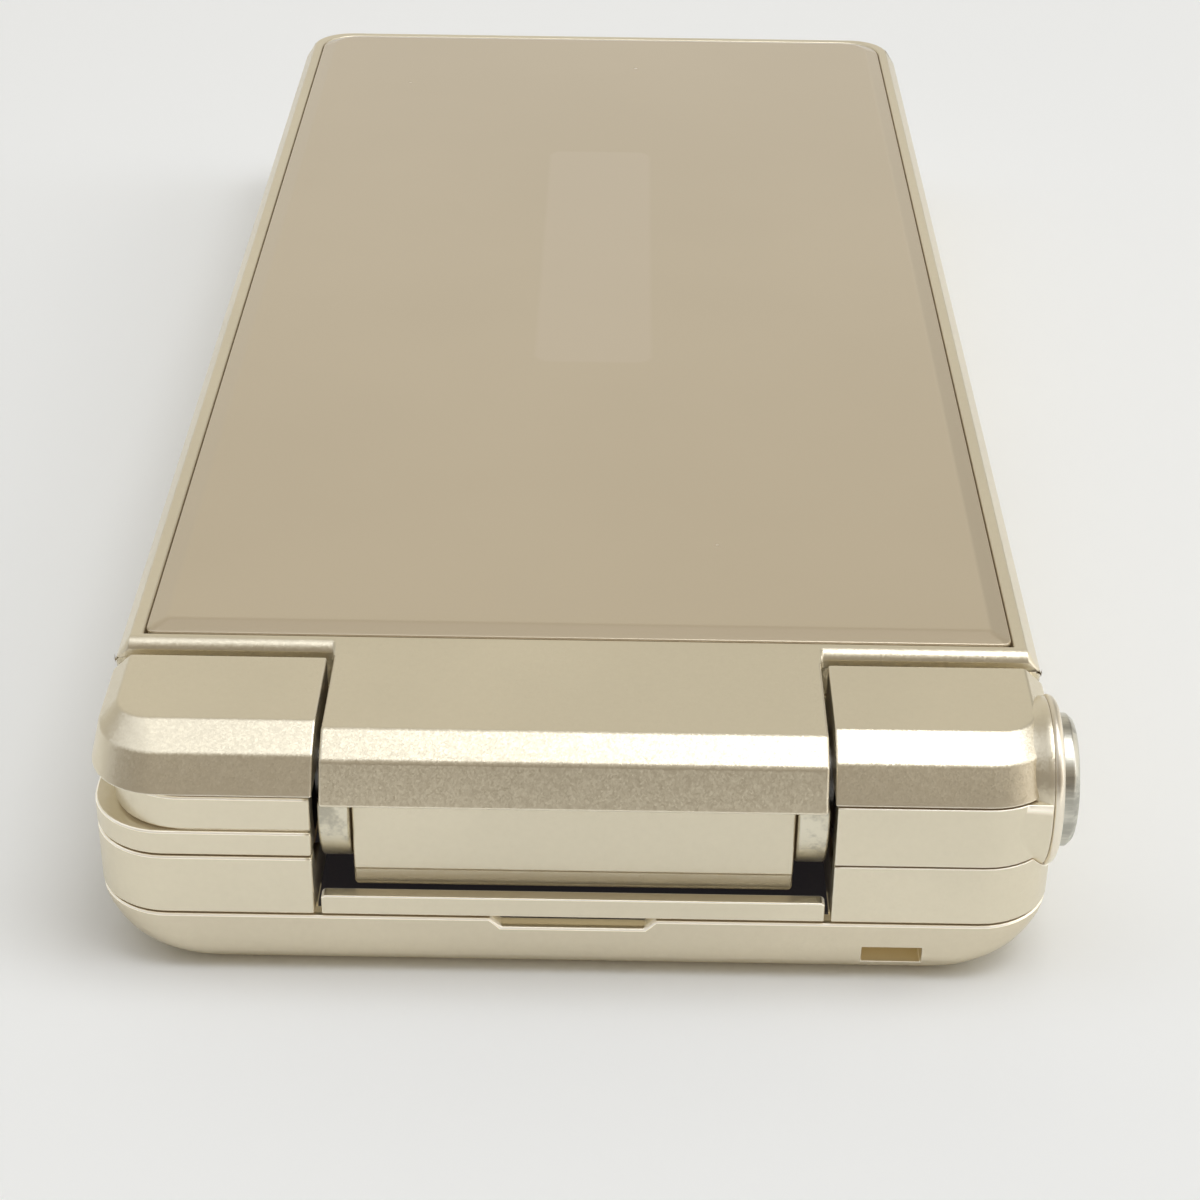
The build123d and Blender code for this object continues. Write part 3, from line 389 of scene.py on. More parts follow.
def rim_highlight_share(s):
    """How much a point lies on an upper rounded rim, where a painted highlight goes: its normal leans up, but
    isn't upright.
    """
    rise = s.parts(s.node("NewGeometry", output="Normal"))[2]
    return rise.rise(0.15, 0.35) * (1.0 - rise.rise(0.86, 0.97))


def between(place, low, high, fade):
    """1 where a place in metres lies between two in millimetres, fading to 0 just inside them."""
    return (place - low * MM).rise(0, fade * MM) * (high * MM - place).rise(0, fade * MM)


print("shares: edges, gaps, rims and places between two others")

# %% [markdown]
# The paint has a few zones. The recess under the centre knuckle is near black and not metallic.
# The notch and the strap hole are pockets that get painted light, as if light leaked in from below.
# A faint glow is painted light that stands for what clear coat and flakes pass on sideways: brown
# in gaps, a painted highlight on rims, dim in pockets and in the recess. Real scattering under the
# surface would do this too, but it is slow and grainy on thin walls.

# %% Champagne paint
BLACK = (0.0, 0.0, 0.0, 1.0)
# the tone of worn edges, also used for painted highlights on edges and rims
WEAR_AND_HIGHLIGHT = linear(252, 248, 238)
# painted light: faint glows in gaps, on rims, in the recess and in the pockets
GAP_GLOW = (0.045, 0.030, 0.014, 1.0)
RIM_GLOW = (0.26, 0.24, 0.19, 1.0)
RECESS_GLOW = (0.010, 0.009, 0.010, 1.0)
POCKET_GLOW = (0.05, 0.035, 0.012, 1.0)
POCKET_TOP_GLOW = (0.16, 0.13, 0.075, 1.0)
POCKET_TOP = 2.6
pocket_half_width, pocket_y, pocket_z = 20.0, (hinge_end + 0.3, hinge_end + 3.0), (1.05, 3.75)
recess_half_width, recess_y = crown_half_width + 0.48, (hinge_end + 0.8, -44.6)
rims_from = crown_half_width + 0.65
FLAKE_SCALE, FLAKE_TILT = 10500.0, 0.085


def champagne_paint(name, colour, roughness=0.30, inside_dark=False, painted_rim_highlights=False):
    """Flake paint. With inside_dark the recess under the centre knuckle is near black, with a faint painted glow.

    With painted_rim_highlights every upper rim gets a painted highlight: a lighter tone and a pale glow.
    """
    s = Shader(name)
    where = s.node("TexCoord", output="Object")
    x, y, z = s.parts(where)
    cloud = s.noise(where, 60.0, 3.0)
    grain = s.noise(where, 2600.0)
    tone = s.blend(cloud.rise(0.3, 0.7) * 0.5 + grain * 0.3, colour, darker(colour, 0.88))
    # edges lightened: wear, and partly a painted highlight along each edge
    tone = s.blend(edge_share(s, where, 0.16) * 0.75, tone, WEAR_AND_HIGHLIGHT)
    # painted shade: ambient occlusion darkens the gaps brown, makes them less metallic and gives them a brown
    # painted glow
    gap = gap_shade(s, 0.32)
    tone = s.blend(gap * 0.75, tone, linear(134, 106, 74))
    metallic, glow = 0.88 - gap * 0.5, s.blend(gap, BLACK, GAP_GLOW)
    if painted_rim_highlights:
        # painted highlight on upper rims: a lighter tone and a pale glow, chosen by the lean of the normal
        rim = rim_highlight_share(s)
        if inside_dark:
            rim = rim * (x.size() - rims_from * MM).rise(0, 0.3 * MM)
        tone = s.blend(rim * 0.85, tone, WEAR_AND_HIGHLIGHT)
        glow = s.blend(rim, glow, RIM_GLOW)
        # painted light in the notch and the strap hole: a dim glow, brighter in the pocket's upper part
        pocket = (pocket_half_width * MM - x.size()).rise(0, 1.0 * MM)
        pocket = pocket * between(y, *pocket_y, 0.1) * between(z, *pocket_z, 0.05)
        near_top = (z - POCKET_TOP * MM).rise(0, 0.1 * MM)
        glow = s.blend(pocket, glow, s.blend(near_top, POCKET_GLOW, POCKET_TOP_GLOW))
    if inside_dark:
        # the recess is near black and unmetallic, with a faint painted glow
        inside = (recess_half_width * MM - x.size()).rise(0, 0.02 * MM)
        inside = inside * between(y, *recess_y, 0.02)
        tone = s.blend(inside, tone, linear(52, 50, 54))
        metallic = metallic * (1.0 - inside)
        glow = s.blend(inside, glow, RECESS_GLOW)
    cell = s.node("TexVoronoi", where, output="Color", Scale=FLAKE_SCALE)
    tilt = s.vector("SCALE", s.vector("SUBTRACT", cell, (0.5, 0.5, 0.5)), Scale=FLAKE_TILT)
    ripple = s.node("Bump", Strength=0.10, Distance=0.02 * MM, Height=s.noise(where, 900.0))
    normal = s.vector("NORMALIZE", s.vector("ADD", ripple, tilt))
    return s.finish(s.node(
        "BsdfPrincipled", Base_Color=tone, Metallic=metallic, Roughness=grain * 0.1 + roughness,
        Normal=normal, Coat_Weight=0.25, Coat_Roughness=0.18, Coat_IOR=1.45,
        Emission_Color=glow, Emission_Strength=1.0,
    ))


PAINT = linear(237, 228, 204)
paint = champagne_paint("champagne_paint", PAINT)
case_paint = champagne_paint("champagne_case_paint", PAINT, inside_dark=True, painted_rim_highlights=True)
trim_paint = champagne_paint("champagne_trim_paint", PAINT, painted_rim_highlights=True)
cover_paint = champagne_paint(
    "champagne_cover_paint", linear(230, 220, 196), roughness=0.36, painted_rim_highlights=True
)
print("paints:", paint.name, case_paint.name, trim_paint.name, cover_paint.name)

# %% [markdown]
# ## Lid panel
#
# The panel is taupe acrylic with a clear, glossy face. The outer display lies right under it and
# shows as a faint, lighter window with soft edges, drawn here as a rounded box: the distance from
# its straight part, compared with the corner's radius. It could be a pane of its own, but on the
# real panel nothing marks its edge except this change of tone. A few grains of dust lie on
# the gloss.

# %% Panel gloss
WINDOW_MIDDLE, WINDOW_HALF = (0.28, 8.3), (3.83, 18.7)
WINDOW_CORNER, WINDOW_BLUR = 1.0, 0.22


def panel_gloss():
    """Clouded taupe with the window's lighter tone, specks of dust, and painted shade along the edge."""
    s = Shader("panel_gloss")
    where = s.node("TexCoord", output="Object")
    x, y, _ = s.parts(where)
    haze = s.noise(where, 45.0, 3.0)
    tone = s.blend(haze.rise(0.3, 0.7) * 0.35 + s.noise(where, 5200.0) * 0.3,
                   linear(204, 190, 163), linear(195, 181, 154))
    dx, dy = (
        ((place - middle * MM).size() - (half - WINDOW_CORNER) * MM).most(0.0)
        for place, middle, half in zip((x, y), WINDOW_MIDDLE, WINDOW_HALF)
    )
    away = (dx * dx + dy * dy) ** 0.5
    window = 1.0 - away.rise((WINDOW_CORNER - WINDOW_BLUR) * MM, (WINDOW_CORNER + WINDOW_BLUR) * MM)
    tone = s.blend(window * 0.4, tone, linear(210, 197, 176))
    dust = s.node("TexVoronoi", where, Scale=170.0)
    speck = (1.0 - dust.rise(0.014, 0.024)) * s.noise(where, 31.0).rise(0.60, 0.64)
    tone = s.blend(speck * 0.75, tone, linear(236, 230, 218))
    # painted shade: darker brown along the edge, by ambient occlusion
    tone = s.blend(gap_shade(s, 0.3) * 0.6, tone, linear(96, 78, 60))
    return s.finish(s.node(
        "BsdfPrincipled", Base_Color=tone, Metallic=0.45, Roughness=speck * 0.3 + 0.26,
        Coat_Weight=0.8, Coat_Roughness=0.06, Coat_IOR=1.5,
    ))


panel = panel_gloss()
print("panel:", panel.name)

# %% [markdown]
# ## Plated metal
#
# The hinge barrels, the button, its ring and the screws are plated or bare metal. Years in a
# pocket dull them in patches and rub their edges bright. A scratched picture could be wrapped on
# them, but noises in the metal's own coordinates reach every side and need no unwrapping.
# Stretched along one direction they become the lines that a lathe leaves.


# %% Metals
def worn_metal(name, colour, roughness, worn, streak=(1.0, 1.0, 1.0)):
    """Plated metal: fine scratches in the bump, dull patches, and bright rubbed edges."""
    s = Shader(name)
    where = s.node("TexCoord", output="Object")
    stretched = s.node("Mapping", where, Scale=streak)
    patch = s.noise(stretched, 500.0, 4.0, 0.7)
    lines = s.noise(stretched, 4200.0, 3.0, 0.7)
    tone = s.blend(patch.rise(0.46, 0.66) * worn, colour, darker(colour, 0.42))
    tone = s.blend(edge_share(s, where, 0.2) * 0.6, tone, linear(236, 232, 222))
    # painted shade: darker brown in gaps, by ambient occlusion
    tone = s.blend(gap_shade(s, 0.3) * 0.7, tone, linear(92, 74, 54))
    bump = s.node("Bump", Strength=0.3, Distance=0.02 * MM, Height=lines)
    return s.finish(s.node(
        "BsdfPrincipled", Base_Color=tone, Metallic=1.0, Roughness=patch * 0.2 + roughness,
        Normal=bump,
    ))


collar = worn_metal("collar_plating", linear(246, 238, 220), 0.24, 0.12)
button_metal = worn_metal("button_metal", linear(214, 212, 200), 0.22, 0.6, (0.35, 1.6, 1.6))
barrel = worn_metal("barrel_metal", linear(232, 226, 206), 0.3, 0.6)
steel = worn_metal("plain_steel", linear(176, 176, 176), 0.3, 0.4)
print("metals:", collar.name, button_metal.name, barrel.name, steel.name)

# %% [markdown]
# ## Plastics, glass and board
#
# What is inside the phone is moulded plastic, glass and a green circuit board. They could share
# one plain grey, but they come into view as soon as the lid or the cover opens. A faint grain is
# enough for a moulding, and a brick pattern stands for the outlines of small parts on the board.


# %% Plastics and glass
def moulded(name, colour, roughness=0.5, metallic=0.0, coat=0.0):
    """Moulded or printed plastic: a fine grain in the bump and slight clouding in the colour."""
    s = Shader(name)
    where = s.node("TexCoord", output="Object")
    cloud = s.noise(where, 150.0, 3.0)
    grain = s.noise(where, 7000.0)
    tone = s.blend(cloud.rise(0.3, 0.7) * 0.5 + grain * 0.3, colour, darker(colour, 0.8))
    tone = s.blend(edge_share(s, where, 0.2) * 0.25, tone, linear(226, 222, 214))
    bump = s.node("Bump", Strength=0.15, Distance=0.01 * MM, Height=grain)
    return s.finish(s.node(
        "BsdfPrincipled", Base_Color=tone, Metallic=metallic, Roughness=cloud * 0.1 + roughness,
        Coat_Weight=coat, Coat_Roughness=0.08, Normal=bump,
    ))


def screen_glass():
    """Glass over the main display: black border, and a dark active area with a soft edge."""
    s = Shader("screen_glass")
    where = s.node("TexCoord", output="Object")
    x, y, _ = s.parts(where)
    low, high = (corner.tolist() for corner in node_box("main_display"))
    border, fade = 1.2, 0.1
    inside = between(x, low[0] + border, high[0] - border, fade)
    inside = inside * between(y, low[1] + border, high[1] - border, fade)
    rows = s.node("TexWave", where, Scale=2400.0, settings={"bands_direction": "Y"})
    share = rows * 0.15 + s.noise(where, 60.0) * 0.2
    active = s.blend(share, linear(33, 37, 45), linear(24, 27, 34))
    tone = s.blend(inside, linear(9, 9, 11), active)
    smear = s.noise(where, 90.0, 4.0)
    return s.finish(s.node(
        "BsdfPrincipled", Base_Color=tone, Roughness=smear * 0.12 + 0.06,
        Coat_Weight=1.0, Coat_Roughness=0.03,
    ))


def circuit_board():
    """Green solder mask over copper: a brick pattern for part outlines, fine noise for the mask."""
    s = Shader("circuit_board")
    where = s.node("TexCoord", output="Object")
    cells = s.node(
        "TexBrick", where, linear(22, 92, 58), linear(15, 74, 48), linear(150, 150, 96),
        Scale=260.0, Mortar_Size=0.012,
    )
    grain = s.noise(where, 4000.0)
    tone = s.blend(grain * 0.35, cells, linear(10, 50, 34))
    bump = s.node("Bump", Strength=0.2, Distance=0.02 * MM, Height=grain)
    return s.finish(s.node(
        "BsdfPrincipled", Base_Color=tone, Roughness=grain * 0.1 + 0.35,
        Coat_Weight=0.4, Normal=bump,
    ))


black = moulded("black_moulding", linear(30, 30, 33), 0.5)
lens_black = moulded("lens_glass", linear(10, 10, 13), 0.08, coat=1.0)
display_dark = moulded("display_module", linear(26, 28, 34), 0.3, coat=0.5)
rubber = moulded("bumper_rubber", linear(96, 88, 78), 0.75)
key_cap = moulded("key_cap", linear(226, 214, 190), 0.34, metallic=0.35, coat=0.4)
film = moulded("dome_film", linear(200, 200, 194), 0.4, metallic=0.5)
wrap = moulded("battery_wrap", linear(178, 182, 188), 0.42, metallic=0.3)
ink = moulded("legend_ink", linear(82, 68, 52), 0.5)
call_ink = moulded("call_ink", linear(70, 128, 88), 0.5)
end_ink = moulded("end_ink", linear(168, 66, 56), 0.5)
screen = screen_glass()
board = circuit_board()
print("materials:", len(bpy.data.materials))

# %% [markdown]
# ## Mouldings with soft edges
#
# A moulding never has a truly sharp edge, and the bright line along it tells the eye so.
# A node's mesh arrives as loose triangles. A copy is welded, its flat triangles are joined into
# whole faces, and every edge that turns by more than a given angle gets a weight in proportion to
# the radius it should have. A bevel modifier then cuts the edge into a small arc. A Bevel node in
# the shader would only fake it, and the piece's outline would stay sharp.

# %% Soft edges
SHARP_TURN = math.radians(22)
FLAT_TURN = math.radians(0.5)
WELD = 1e-6


def finish_node(name, material):
    """Give a node of the frame its material."""
    nodes[name].data.materials.clear()
    nodes[name].data.materials.append(material)


def stand_in(piece, name, material):
    """Give a node of the frame the material of the piece that stands for it, and hide the node."""
    finish_node(name, material)
    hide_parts(name)
    return piece


def soft_shell(name, material, radius=0.12, radius_at=None, reshape=None, segments=3):
    """A node's welded copy with rounded edges, which stands for the node.

    radius_at takes the x, y and z of the edges' middles in millimetres and gives their radii.
    reshape takes the copy as a bmesh and may bend it first.
    """
    work = bmesh.new()
    work.from_mesh(nodes[name].data)
    bmesh.ops.remove_doubles(work, verts=work.verts, dist=WELD)
    bmesh.ops.dissolve_limit(work, angle_limit=FLAT_TURN, verts=work.verts, edges=work.edges)
    if reshape:
        reshape(work)
    mesh = bpy.data.meshes.new(f"{name}_shell")
    work.to_mesh(mesh)
    turns = np.array([edge.calc_face_angle(0.0) for edge in work.edges])
    work.free()
    ends = np.zeros(2 * len(mesh.edges), int)
    mesh.edges.foreach_get("vertices", ends)
    points = np.zeros(3 * len(mesh.vertices))
    mesh.vertices.foreach_get("co", points)
    middles = points.reshape(-1, 3)[ends.reshape(-1, 2)].mean(1) / MM
    radii = np.full(len(middles), float(radius)) if radius_at is None else radius_at(*middles.T)
    largest = float(radii.max())
    weights = np.where(turns > SHARP_TURN, radii / largest, 0.0)
    mesh.attributes.new("bevel_weight_edge", "FLOAT", "EDGE").data.foreach_set("value", weights)
    piece = link_piece(f"{name}_shell", mesh, body_of_node[name], material)
    bevel = piece.modifiers.new("soft edges", "BEVEL")
    bevel.limit_method, bevel.width, bevel.segments = "WEIGHT", largest * MM, segments
    bevel.use_clamp_overlap = False
    flatten_shading(piece)
    return stand_in(piece, name, material)


print("edges that turn by more than", round(math.degrees(SHARP_TURN)), "degrees are rounded")

# %% [markdown]
# ## Lid mouldings
#
# The lid's frame shows fine edges along its parting lines and soft sides on the crown of the
# centre knuckle. Beside the knuckle its top rolls over the outer knuckles in a thin lip. The wall
# there is thinner than the roll, so a bevel would run into itself. The top is bent instead: a
# few cuts across it are let down onto an arc.

# %% Lid mouldings
LIP_START = -44.75  # y where the lid's top starts to bend
LIP_TIP = -45.6  # y of the lip's tip, over the caps
LIP_STEP = 0.2  # width of the slope between the lip and the centre knuckle
CROWN_END = -46.6  # y beyond which the crown's sides are rounded
LIP_CUTS = 10
LIP_LOW = 13.0  # what lies above this height near the tip belongs to the lip
HAIR = 0.001
FOOT_TOP = 5.2  # the foot of the hinge block lies below this height


def round_lips(work):
    """Bend the lid's top down over both knuckle caps.

    The arc starts flat at LIP_START and ends on the undercut at LIP_TIP. With the run d and the
    fall h between them its radius is (d^2 + h^2) / 2h.
    """
    cuts = [(0, side * (crown_half_width + step)) for side in (-1, 1) for step in (0, LIP_STEP)]
    cuts += [(1, y) for y in (CROWN_END, *np.linspace(LIP_TIP, LIP_START, LIP_CUTS))]
    for axis, place in cuts:
        normal = Vector((axis == 0, axis == 1, 0))
        geometry = work.verts[:] + work.edges[:] + work.faces[:]
        bmesh.ops.bisect_plane(
            work, geom=geometry, dist=1e-7, plane_co=normal * place * MM, plane_no=normal
        )
    places = np.array([vertex.co[:] for vertex in work.verts]) / MM
    x, y, z = places.T
    lip = (np.abs(x) > crown_half_width + 10 * HAIR) & (y < LIP_START + HAIR)
    top = lip & (z > lid_top - 10 * HAIR)
    tip_z = z[lip & ~top & (np.abs(y - LIP_TIP) < HAIR)].max()
    run, fall = LIP_START - LIP_TIP, lid_top - tip_z
    arc = (run**2 + fall**2) / (2 * fall)
    z[top] = lid_top - arc + np.sqrt(arc**2 - (LIP_START - np.maximum(y[top], LIP_TIP)) ** 2)
    beyond = lip & (y < LIP_TIP)
    y[beyond], z[beyond] = LIP_TIP, tip_z
    for vertex, place in zip(work.verts, places):
        vertex.co = Vector(place) * MM
    bmesh.ops.remove_doubles(work, verts=work.verts, dist=WELD)
    moved = int(top.sum() + beyond.sum())
    print("lip: fall", round(fall, 2), "arc", round(arc, 2), "points moved", moved)


def lid_radius(x, y, z):
    """0.18, but 0.04 on the lips, 0.16 on the crown's sides, and none where a lip meets a side."""
    slack = 50 * HAIR
    lip = (y > CROWN_END) & (y < LIP_START + slack) & (z > LIP_LOW)
    lip &= np.abs(x) > crown_half_width - slack
    side = np.abs(np.abs(x) - crown_half_width) < slack
    return np.select([lip & side, lip, side & (y < CROWN_END)], [0.0, 0.04, 0.16], 0.18)


def block_radius(_, y, z):
    """0.12 in general, 0.25 along the foot of the hinge block."""
    return np.where((y < axis_y) & (z < FOOT_TOP), 0.25, 0.12)


soft_shell("lid_outer_case", paint, radius_at=lid_radius, reshape=round_lips)
soft_shell("lid_inner_case", paint, radius_at=block_radius)
soft_shell("hinge_barrels", barrel, 0.15)
print("lid mouldings done")

# %% [markdown]
# ## Base mouldings
#
# The two halves of the base's case and the battery cover meet in thin parting lines, which show
# because the edges on both sides of them are rounded. One radius would do for most of them. It is
# finer where a form is small: round the strap hole, and at the collar behind the button.

# %% Base mouldings
# The collar lies beyond, before and above the first three places, and the strap hole below and
# before the last two.
collar_x, collar_y, collar_z = 13.0, -46.0, 4.8
strap_hole_x, strap_hole_reach, strap_hole_y, strap_hole_top = 17.0, 3.0, -50.0, 2.6


def case_radius(x, y, z):
    """0.18 in general, 0.06 on the side that carries the collar of the button."""
    return np.where((x > collar_x) & (y < collar_y) & (z > collar_z), 0.06, 0.18)


def cover_radius(x, y, z):
    """0.18 in general, 0.07 round the strap hole."""
    beside = np.abs(x - strap_hole_x) < strap_hole_reach
    return np.where(beside & (y < strap_hole_y) & (z < strap_hole_top), 0.07, 0.18)


soft_shell("base_front_case", case_paint, radius_at=case_radius)
soft_shell("base_rear_case", case_paint, radius_at=case_radius)
soft_shell("battery_cover", cover_paint, radius_at=cover_radius)
soft_shell("hinge_bar", trim_paint, 0.1)
soft_shell("port_cover", trim_paint, 0.15)
soft_shell("side_key", trim_paint, 0.2)
print("base mouldings done")

# %% [markdown]
# ## Knuckle caps
#
# The faceted caps over the ends of the hinge narrow in two steps: a steep facet, a flatter one,
# and the top. A cut and bevelled block would do, but its corner would be the same all the way up.
# Here each is a stack of outlines whose round corner tightens from foot to top, and the facets
# meet in ridges that are crisp but not sharp. The left cap gives the heights of both, because the
# node of the right one holds half of the collar too.

# %% Caps
CAP_STEPS = 12
CAP_EDGE = 0.12  # radius of the corners that aren't the outer one
CAP_GAP = 0.38  # between a cap and the centre knuckle
CAP_REACH = 25.5  # from the middle of the phone to a cap's outer side
SHOULDER_RISE = 1.75


def build_cap(name, side):
    """Levels of a cap: underside, foot, shoulder, top and the top's middle.

    A row holds a height, how far the outer side, the front and the other two sides are drawn in,
    and the radius of the outer corner.
    """
    low, high = node_box("knuckle_cap_left")
    rows = [
        (low[2], 0.4, 0.4, 0, 3.6),
        (low[2], 0, 0, 0, 4.0),
        (low[2] + SHOULDER_RISE, 0.35, 1.4, 0, 3.5),
        (high[2], 1.35, 3.25, 0, 1.9),
        (high[2], 2.2, 4.1, 0.6, 1.0),
    ]
    outlines = []
    for _, outer, front, inner, radius in rows:
        ends = side * (crown_half_width + CAP_GAP + inner), side * (CAP_REACH - outer)
        corners = rectangle(*sorted(ends), hinge_end + front, high[1] - inner)
        radii = [CAP_EDGE] * 4
        radii[0 if side < 0 else 1] = radius
        outlines.append(rounded_polygon(corners, radii, CAP_STEPS))
    levels = soften(at_heights(outlines, [row[0] for row in rows]), [0.12, 0.14, 0.14])
    return stand_in(loft(f"{name}_shell", levels, "base", paint), name, paint)


build_cap("knuckle_cap_left", -1)
right_cap = build_cap("knuckle_cap_right", 1)
print("caps reach x =", CAP_REACH, "mm")

# %% [markdown]
# ## Collar of the button
#
# A round collar grows out of the right cap and flares towards the button's ring. The button slides
# in when it is pressed, so both the collar and the cap need a bore. The collar is turned with
# its bore. The cap is a stack of flat outlines and can't have one, so a round bar is cut out of it.

# %% Collar
BUTTON_PLAY = 0.1
BORE_FROM, BORE_TO = 23.0, 26.0
COLLAR_START = 22.2
NECK_RADII, FLARE_RADIUS = (3.9, 4.0), 4.45
button_bore = node_box("one_push_button")[1][1] - axis_y + BUTTON_PLAY


def bore(piece, radius, low, high):
    """Cut a round bore that lies along the hinge axis out of a piece, from low to high in x."""
    levels = laid_along_x(lathe([radius, radius], [low, high]), axis_y, axis_z)
    cutter = add_object("bore", skin("bore", levels))
    piece.modifiers.clear()
    cut = piece.modifiers.new("bore", "BOOLEAN")
    cut.operation, cut.solver, cut.object = "DIFFERENCE", "EXACT", cutter
    bored = applied_mesh(piece)
    piece.modifiers.clear()
    piece.data = bored
    bpy.data.objects.remove(cutter)
    flatten_shading(piece)
    print(piece.name, "bored, faces:", len(bored.polygons))


def build_collar():
    """Levels of the collar: neck, flare, rim and bore, as a closed stack."""
    end = node_box("button_ring")[0][0] - 0.02
    radii = [*NECK_RADII, FLARE_RADIUS, FLARE_RADIUS, button_bore, button_bore]
    places = [COLLAR_START, end - 1.0, end - 0.25, end, end, COLLAR_START]
    levels = laid_along_x(soften(lathe(radii, places), [0.4, 0.2, 0.03, 0.02]), axis_y, axis_z)
    piece = loft("button_collar_neck", levels, "base", paint, closed=True)
    return piece


bore(right_cap, button_bore, BORE_FROM, BORE_TO)
build_collar()
print("button's bore radius", round(button_bore, 2))

# %% [markdown]
# ## The panel's shape
#
# The panel stands a little proud of the frame. A bevel just over a millimetre wide runs round it,
# and its ridge reflects as a thin line. A bevel modifier gives every corner the same radius, but
# the panel's near corners are tighter than its far ones, so it is a stack of outlines too.


# %% Panel shell
def build_panel():
    """Levels of the panel: upright edge, the bevel's foot at the rim, its ridge, and a flat top."""
    low, high = node_box("lid_panel")
    bevel, near_radius, far_radius, ridge_radius = 1.1, 0.65, 2.8, 0.25
    radii = [near_radius, near_radius, far_radius, far_radius]
    inner = [ridge_radius, ridge_radius, far_radius - bevel, far_radius - bevel]
    rows = ((0, radii), (0, radii), (bevel, inner), (2 * bevel, inner))
    outlines = [inset_outline(low, high, inset, corner_radii) for inset, corner_radii in rows]
    levels = at_heights(outlines, [low[2], lid_top, high[2], high[2]])
    piece = loft("lid_panel_shell", soften(levels, [0.12, 0.2]), "lid", panel)
    return stand_in(piece, "lid_panel", panel)


build_panel()

# %% [markdown]
# ## Push button and its ring
#
# Both are round about the hinge axis. Such pieces are turned on a lathe, and a list of radii and
# places says the same. The button's face is dished, with a fine groove round it, and the ring
# rolls over from its outside to the bore.

# %% Button and ring
BUTTON_THICKNESS = 1.77
STEM_RADIUS = 0.9
CENTRE_RADIUS = 0.02
ROLL_HEIGHT = 0.42


def build_button():
    """The button: stem, skirt, rolled edge, a groove and a shallow dish, from inside to outside."""
    low, high = node_box("one_push_button")
    r = (high[1] - low[1]) / 2
    end, seat = high[0], high[0] - BUTTON_THICKNESS
    stem = [(STEM_RADIUS, low[0]), (STEM_RADIUS, seat)]
    skirt = [(r, seat), (r, end - 0.34), (r - 0.34, end), (r - 0.75, end)]
    groove = [(r - 0.82, end - 0.08), (r - 0.9, end)]
    dish = [(r - 1.1, end - 0.02), (STEM_RADIUS, end - 0.16), (CENTRE_RADIUS, end - 0.18)]
    radii, places = zip(*stem, *skirt, *groove, *dish)
    levels = soften(lathe(radii, places), [0.02, 0.02, 0.1, 0.16, 0.03, 0.03, 0.03, 0.05, 0.6], 6)
    levels = laid_along_x(levels, axis_y, axis_z)
    piece = loft("one_push_button_shell", levels, "one_push_button", button_metal)
    return stand_in(piece, "one_push_button", button_metal)


def build_ring():
    """The ring: outside, rolled front edge, and bore, as a closed stack."""
    low, high = node_box("button_ring")
    outer, near, end = (high[1] - low[1]) / 2, low[0], high[0]
    turn = np.radians(np.linspace(0, 180, 13))
    half = (outer - button_bore) / 2
    rolled = button_bore + half + half * np.cos(turn)
    radii = [button_bore, outer - 0.08, *rolled, button_bore]
    places = [near, near, *(end - ROLL_HEIGHT + ROLL_HEIGHT * np.sin(turn)), near + 0.1]
    levels = laid_along_x(lathe(radii, places), axis_y, axis_z)
    piece = loft("button_ring_shell", levels, "base", collar, closed=True)
    return stand_in(piece, "button_ring", collar)


build_button()
build_ring()
print("button reaches x =", round(node_box("one_push_button")[1][0], 2), "mm")

# %% [markdown]
# ## Keys
#
# Each key is a cap on a thin flange that keeps it in its opening. A finger should find it, so the
# cap's shoulder is a full round. The four-way ring has a dished top, and the select key a dome.
# All could be modelled by hand, but one function for the plain ones keeps nineteen keys alike.

# %% Key caps
FLANGE = 0.2
CAP_MARGIN = 0.45


def build_key(name, corner=1.2):
    """Levels of a key: flange, cap side, round shoulder, and the flat top with the legend."""
    low, high = node_box(name)
    flange_top = low[2] + FLANGE
    steps = [(0, low[2], corner), (0, flange_top, corner), (CAP_MARGIN, flange_top, corner),
             (CAP_MARGIN, high[2] - 0.16, corner), (CAP_MARGIN + 0.42, high[2], corner * 0.75),
             (CAP_MARGIN + 1.2, high[2], corner * 0.5)]
    outlines = [inset_outline(low, high, inset, radius) for inset, _, radius in steps]
    levels = at_heights(outlines, [h for _, h, _ in steps])
    piece = loft(f"{name}_cap", soften(levels, [0.03, 0.03, 0.12, 0.2]), name, key_cap)
    return stand_in(piece, name, key_cap)


def build_navigation_ring():
    """A square with round corners outside, and a round bore.

    Towards an angle a the outside is at h / (|cos a|^p + |sin a|^p)^(1/p). Each level lies at a
    share of the way from the bore to the outside, and the top dips between two rims.
    """
    low, high = node_box("key_navigation_ring")
    middle, bore, power, top = (low[1] + high[1]) / 2, 4.5, 4.2, high[2]
    shares = np.array([
        (0, low[2], 0), (1, low[2], 0), (1, low[2] + FLANGE, 0), (1, low[2] + FLANGE, CAP_MARGIN),
        (1, top - 0.14, CAP_MARGIN), (0.94, top, CAP_MARGIN), (0.84, top, CAP_MARGIN),
        (0.5, top - 0.16, CAP_MARGIN), (0.16, top, CAP_MARGIN), (0.06, top, CAP_MARGIN),
        (0, top - 0.12, CAP_MARGIN),
    ])
    share, height, margin = shares.T[..., None]
    a = np.linspace(0, 2 * np.pi, 128, endpoint=False)[None]
    half = (high[0] - low[0]) / 2 - margin
    reach = half / (np.abs(np.cos(a)) ** power + np.abs(np.sin(a)) ** power) ** (1 / power)
    r = bore + share * (reach - bore)
    levels = np.stack([r * np.cos(a), middle + r * np.sin(a), height + 0 * a], -1)
    piece = loft("key_navigation_ring_cap", levels, "key_navigation_ring", key_cap, closed=True)
    return stand_in(piece, "key_navigation_ring", key_cap)


